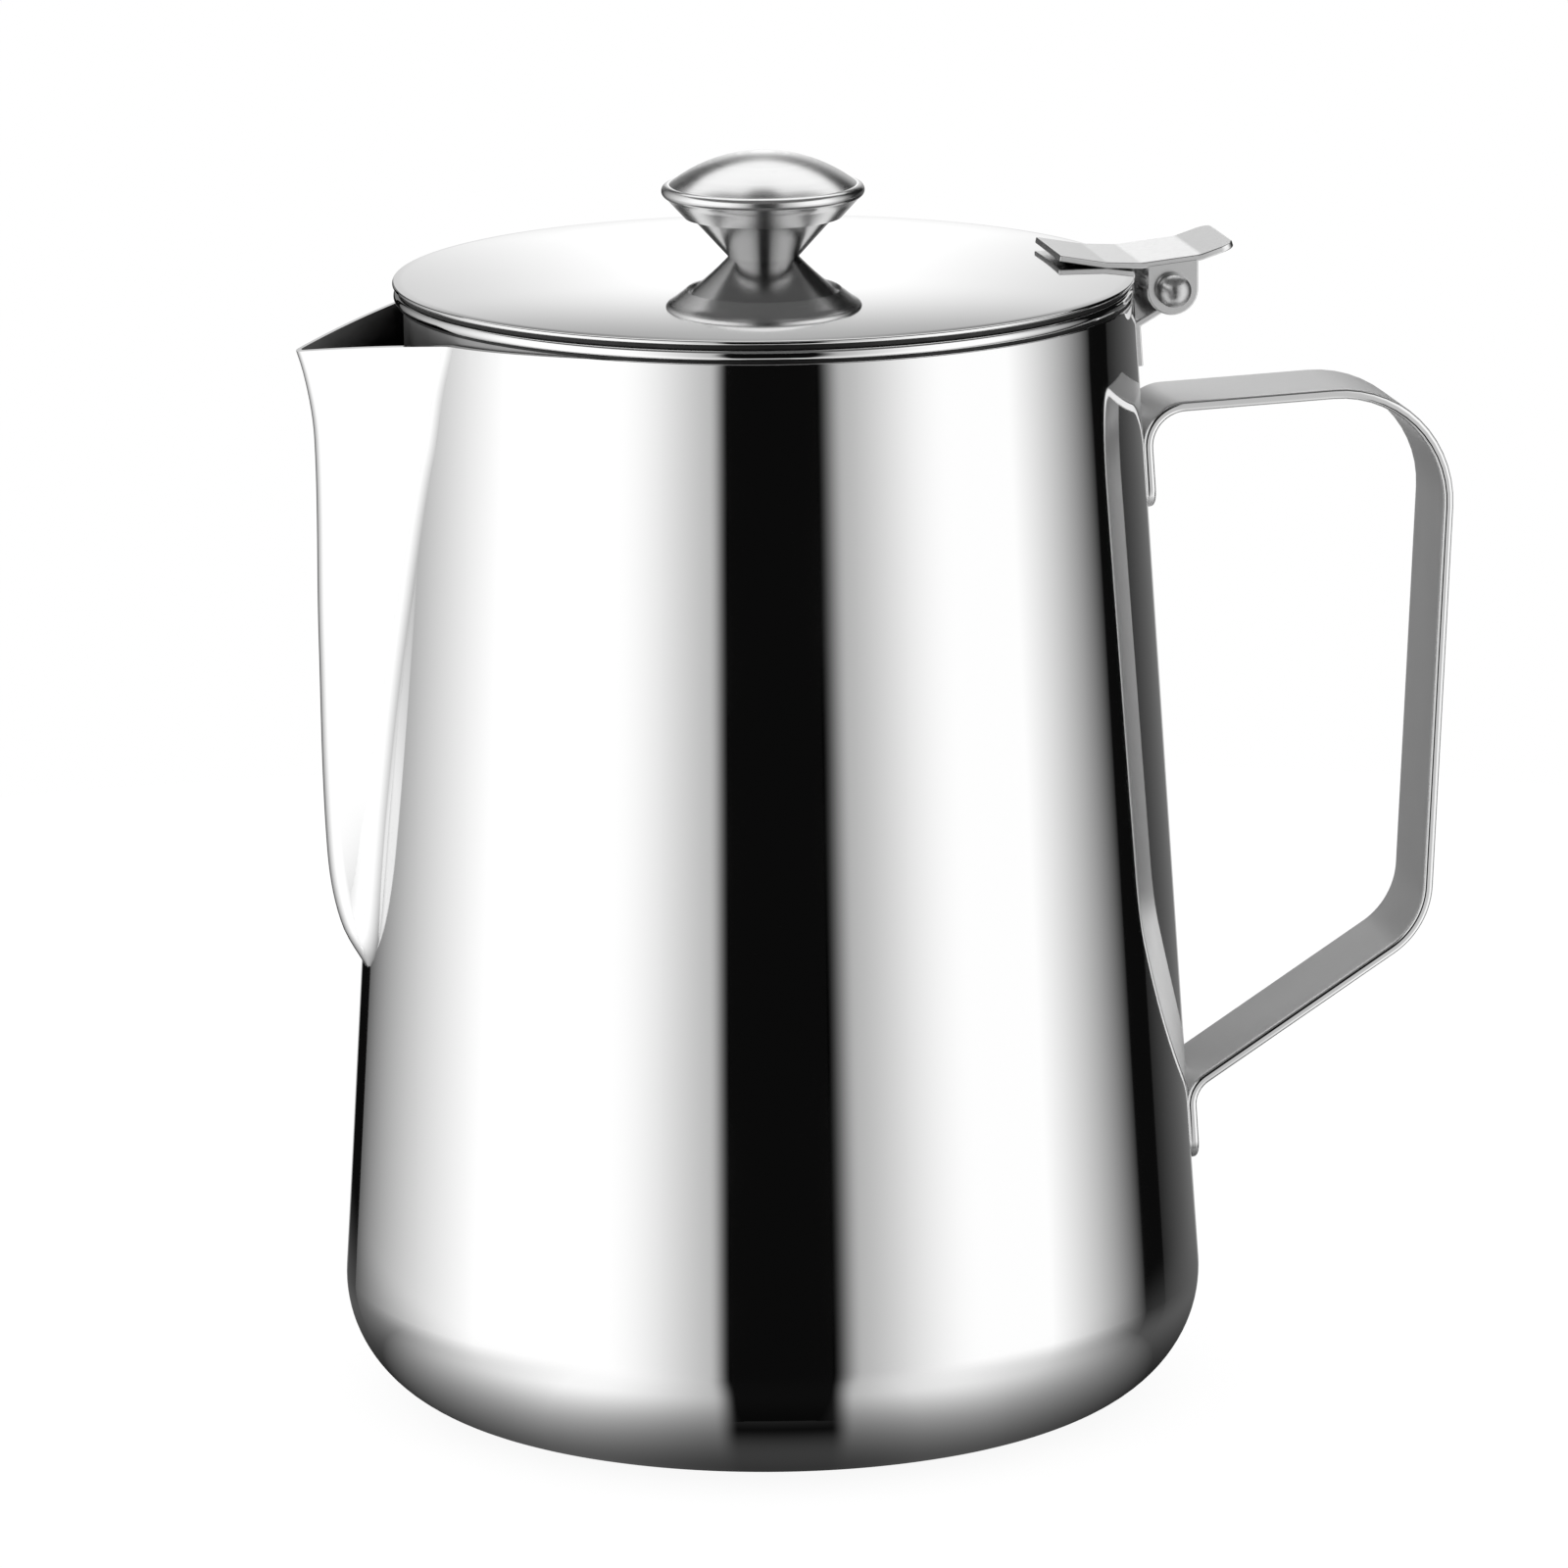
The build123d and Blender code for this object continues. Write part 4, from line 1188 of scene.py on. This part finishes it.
def pale_table(studio, finishes):
    """Table top in white paper."""
    # The camera sees it white, with the jug's soft shadow. For the steel it glows white, with a painted
    # shadow that darkens it towards the jug's foot, and a painted reflection of the black card as a dark
    # stripe in front of the card; further out the softboxes take over
    material, tree, place = new_material("pale_table")
    out = add_node(tree, "ShaderNodeVectorMath", {0: place}, operation="LENGTH").outputs["Value"]
    shares = []
    for blend, start, end, share_start, share_end in (FOOT_PAINTED_SHADOW, STRIPE_PAINTED_REFLECTION, STRIPE_SPREAD, TABLE_END):
        inputs = ramp(out, start * MM, end * MM, share_start, share_end)
        node = add_node(tree, "ShaderNodeMapRange", inputs, interpolation_type=blend)
        shares.append(node.outputs["Result"])
    glow, stripe, widening, ended = shares
    azimuth = azimuth_and_height(tree, place)[0]
    stripe_at = studio.azimuth + STRIPE_TURN
    turned_by = add_node(tree, "ShaderNodeMath", {0: azimuth, 1: stripe_at}, operation="SUBTRACT")
    turned_by = turned_by.outputs["Value"]
    aside = add_node(tree, "ShaderNodeMath", {0: turned_by}, operation="ABSOLUTE").outputs["Value"]
    spread = add_node(tree, "ShaderNodeMath", {0: aside, 1: widening}, operation="DIVIDE").outputs["Value"]
    # Painted reflection of the black card, widened outwards, and painted shade that dims the glow towards the
    # sides
    # From and to in degrees from the stripe, share of the light at each
    for value, blend, start, end, share_start, share_end in (
        (spread, "SMOOTHSTEP", 8.2, 12.5, stripe, 1.0),
        (aside, "SMOOTHSTEP", 6, 36, 0.45, 1.0),
        (turned_by, "LINEAR", 22, 80, 1.0, 0.1),
        (turned_by, "LINEAR", -90, -40, 0.1, 1.0),
    ):
        bounds = math.radians(start), math.radians(end)
        glow = dimmed(tree, glow, value, blend, *bounds, share_start, share_end)
    foot = add_node(tree, "ShaderNodeEmission", {"Color": finishes.paper, "Strength": glow})
    clear = add_node(tree, "ShaderNodeBsdfTransparent")
    mirrored = add_node(tree, "ShaderNodeMixShader", {
        0: ended, 1: foot.outputs["Emission"], 2: clear.outputs["BSDF"],
    })
    shade = add_node(tree, "ShaderNodeBsdfDiffuse", {"Color": finishes.shade})
    lift = add_node(tree, "ShaderNodeEmission", {"Color": finishes.paper, "Strength": TABLE_LIFT})
    white = add_node(tree, "ShaderNodeAddShader", {0: shade.outputs["BSDF"], 1: lift.outputs["Emission"]})
    look = add_node(tree, "ShaderNodeMixShader", {
        0: add_node(tree, "ShaderNodeLightPath").outputs["Is Camera Ray"],
        1: mirrored.outputs["Shader"], 2: white.outputs["Shader"],
    })
    add_node(tree, "ShaderNodeOutputMaterial", {"Surface": look.outputs["Shader"]})
    return material


class JUG_OT_stage(Operator):
    """Pale floor, softboxes, dark cards, white backdrop and the camera"""

    bl_idname = "jug.stage"
    bl_label = "Studio"

    def execute(self, context):
        scene = context.scene
        studio, finishes = scene.jug_studio, scene.jug_finishes
        scene.view_settings.view_transform = "Standard"

        world = bpy.data.worlds.new("white_backdrop")
        world.use_nodes = True
        world.node_tree.nodes.clear()
        paper = add_node(world.node_tree, "ShaderNodeBackground", {"Color": finishes.paper, "Strength": 1.0})
        add_node(world.node_tree, "ShaderNodeOutputWorld", {"Surface": paper.outputs["Background"]})
        scene.world = world

        bm = bmesh.new()
        bmesh.ops.create_circle(bm, cap_ends=True, segments=128, radius=studio.floor_radius)
        place_object(bm, "floor", [pale_table(studio, finishes)])

        lights = {name: card_light(name, studio, strength, ramps) for name, strength, ramps in CARD_LIGHTS}
        low, horizon, top = -studio.depth, studio.horizon, studio.ceiling
        # Azimuths in degrees from the camera, layers behind the first, lower and upper edge
        for name, light, start, end, layer, lower, upper in (
            ("left_softbox", "left_softbox", -152, -11, 0, low, top),
            ("right_softbox", "right_softbox", 15.5, 118, 0, low, top),
            ("camera_flag", "black_card", -20, 26, 1, low, top),
            ("left_rear_flag", "black_card", -168, -150, 1, low, horizon),
            ("right_side_flag", "black_card", 116, 131, 2, low, top),
            ("right_rear_card", "grey_card", 130, 168, 1, low, horizon),
            ("rear_flag", "black_card", 130, 230, 3, horizon, top),
            ("back_softbox", "back_softbox", 158, 202, 2, low, top),
        ):
            out = studio.radius + layer * studio.layer
            card(name, lights[light], studio, start, end, (out, lower), (out, upper))
        # Overhead, the rear flag's edge lies a little above the softbox
        rim, far = studio.opening, (studio.radius, top)
        card("overhead_softbox", lights["overhead_softbox"], studio, 130, 230, (rim, top), far)
        card("ceiling_card", lights["ceiling_card"], studio, -130, 130, (0.0, top), far)
        flag_edge = (rim + 30 * MM, top + 10 * MM)
        card("ceiling_flag_rear", lights["black_card"], studio, 130, 230, (0.0, top), flag_edge)

        lens = bpy.data.cameras.new("camera")
        lens.sensor_width, lens.lens = 36.0, studio.lens
        camera = bpy.data.objects.new("camera", lens)
        scene.collection.objects.link(camera)
        tilt, turn = studio.elevation, studio.azimuth
        back = Vector((math.sin(turn) * math.cos(tilt), -math.cos(turn) * math.cos(tilt), math.sin(tilt)))
        camera.location = Vector(studio.target) + back * studio.distance
        level = (-back).to_track_quat("-Z", "Y")
        camera.rotation_mode = "QUATERNION"
        camera.rotation_quaternion = level @ Quaternion((0, 0, 1), studio.roll)
        scene.camera = camera
        return {"FINISHED"}


OPERATORS = (
    JUG_OT_body, JUG_OT_spout, JUG_OT_handle, JUG_OT_hinge_leaf, JUG_OT_lid, JUG_OT_thumb_lever, JUG_OT_rivet,
    JUG_OT_knob, JUG_OT_fasteners, JUG_OT_stage,
)
GROUPS = {
    "jug_body": JugBodySizes,
    "jug_spout": JugSpoutSizes,
    "jug_handle": JugHandleSizes,
    "jug_lid": JugLidSizes,
    "jug_hinge": JugHingeSizes,
    "jug_knob": JugKnobSizes,
    "jug_finishes": JugFinishes,
    "jug_studio": JugStudio,
}


class JUG_PT_sidebar(Panel):
    """Lists the jug's pieces"""

    bl_idname = "JUG_PT_sidebar"
    bl_label = "Milk jug"
    bl_space_type = "VIEW_3D"
    bl_region_type = "UI"
    bl_category = "Milk jug"

    def draw(self, context):
        for operator in OPERATORS:
            self.layout.operator(operator.bl_idname)
        for name in GROUPS:
            box = self.layout.box()
            group = getattr(context.scene, name)
            for key in group.__annotations__:
                box.prop(group, key)


def register():
    for name, group in GROUPS.items():
        bpy.utils.register_class(group)
        setattr(bpy.types.Scene, name, PointerProperty(type=group))
    for item in (*OPERATORS, JUG_PT_sidebar):
        bpy.utils.register_class(item)


def unregister():
    for item in (JUG_PT_sidebar, *reversed(OPERATORS)):
        bpy.utils.unregister_class(item)
    for name, group in reversed(GROUPS.items()):
        delattr(bpy.types.Scene, name)
        bpy.utils.unregister_class(group)


def main():
    register()
    bpy.ops.jug.body()
    bpy.ops.jug.spout()
    bpy.ops.jug.handle()
    bpy.ops.jug.hinge_leaf()
    bpy.ops.jug.lid()
    bpy.ops.jug.thumb_lever()
    bpy.ops.jug.rivet()
    bpy.ops.jug.knob()
    bpy.ops.jug.fasteners()
    bpy.ops.jug.stage()


if __name__ == "__main__":
    main()
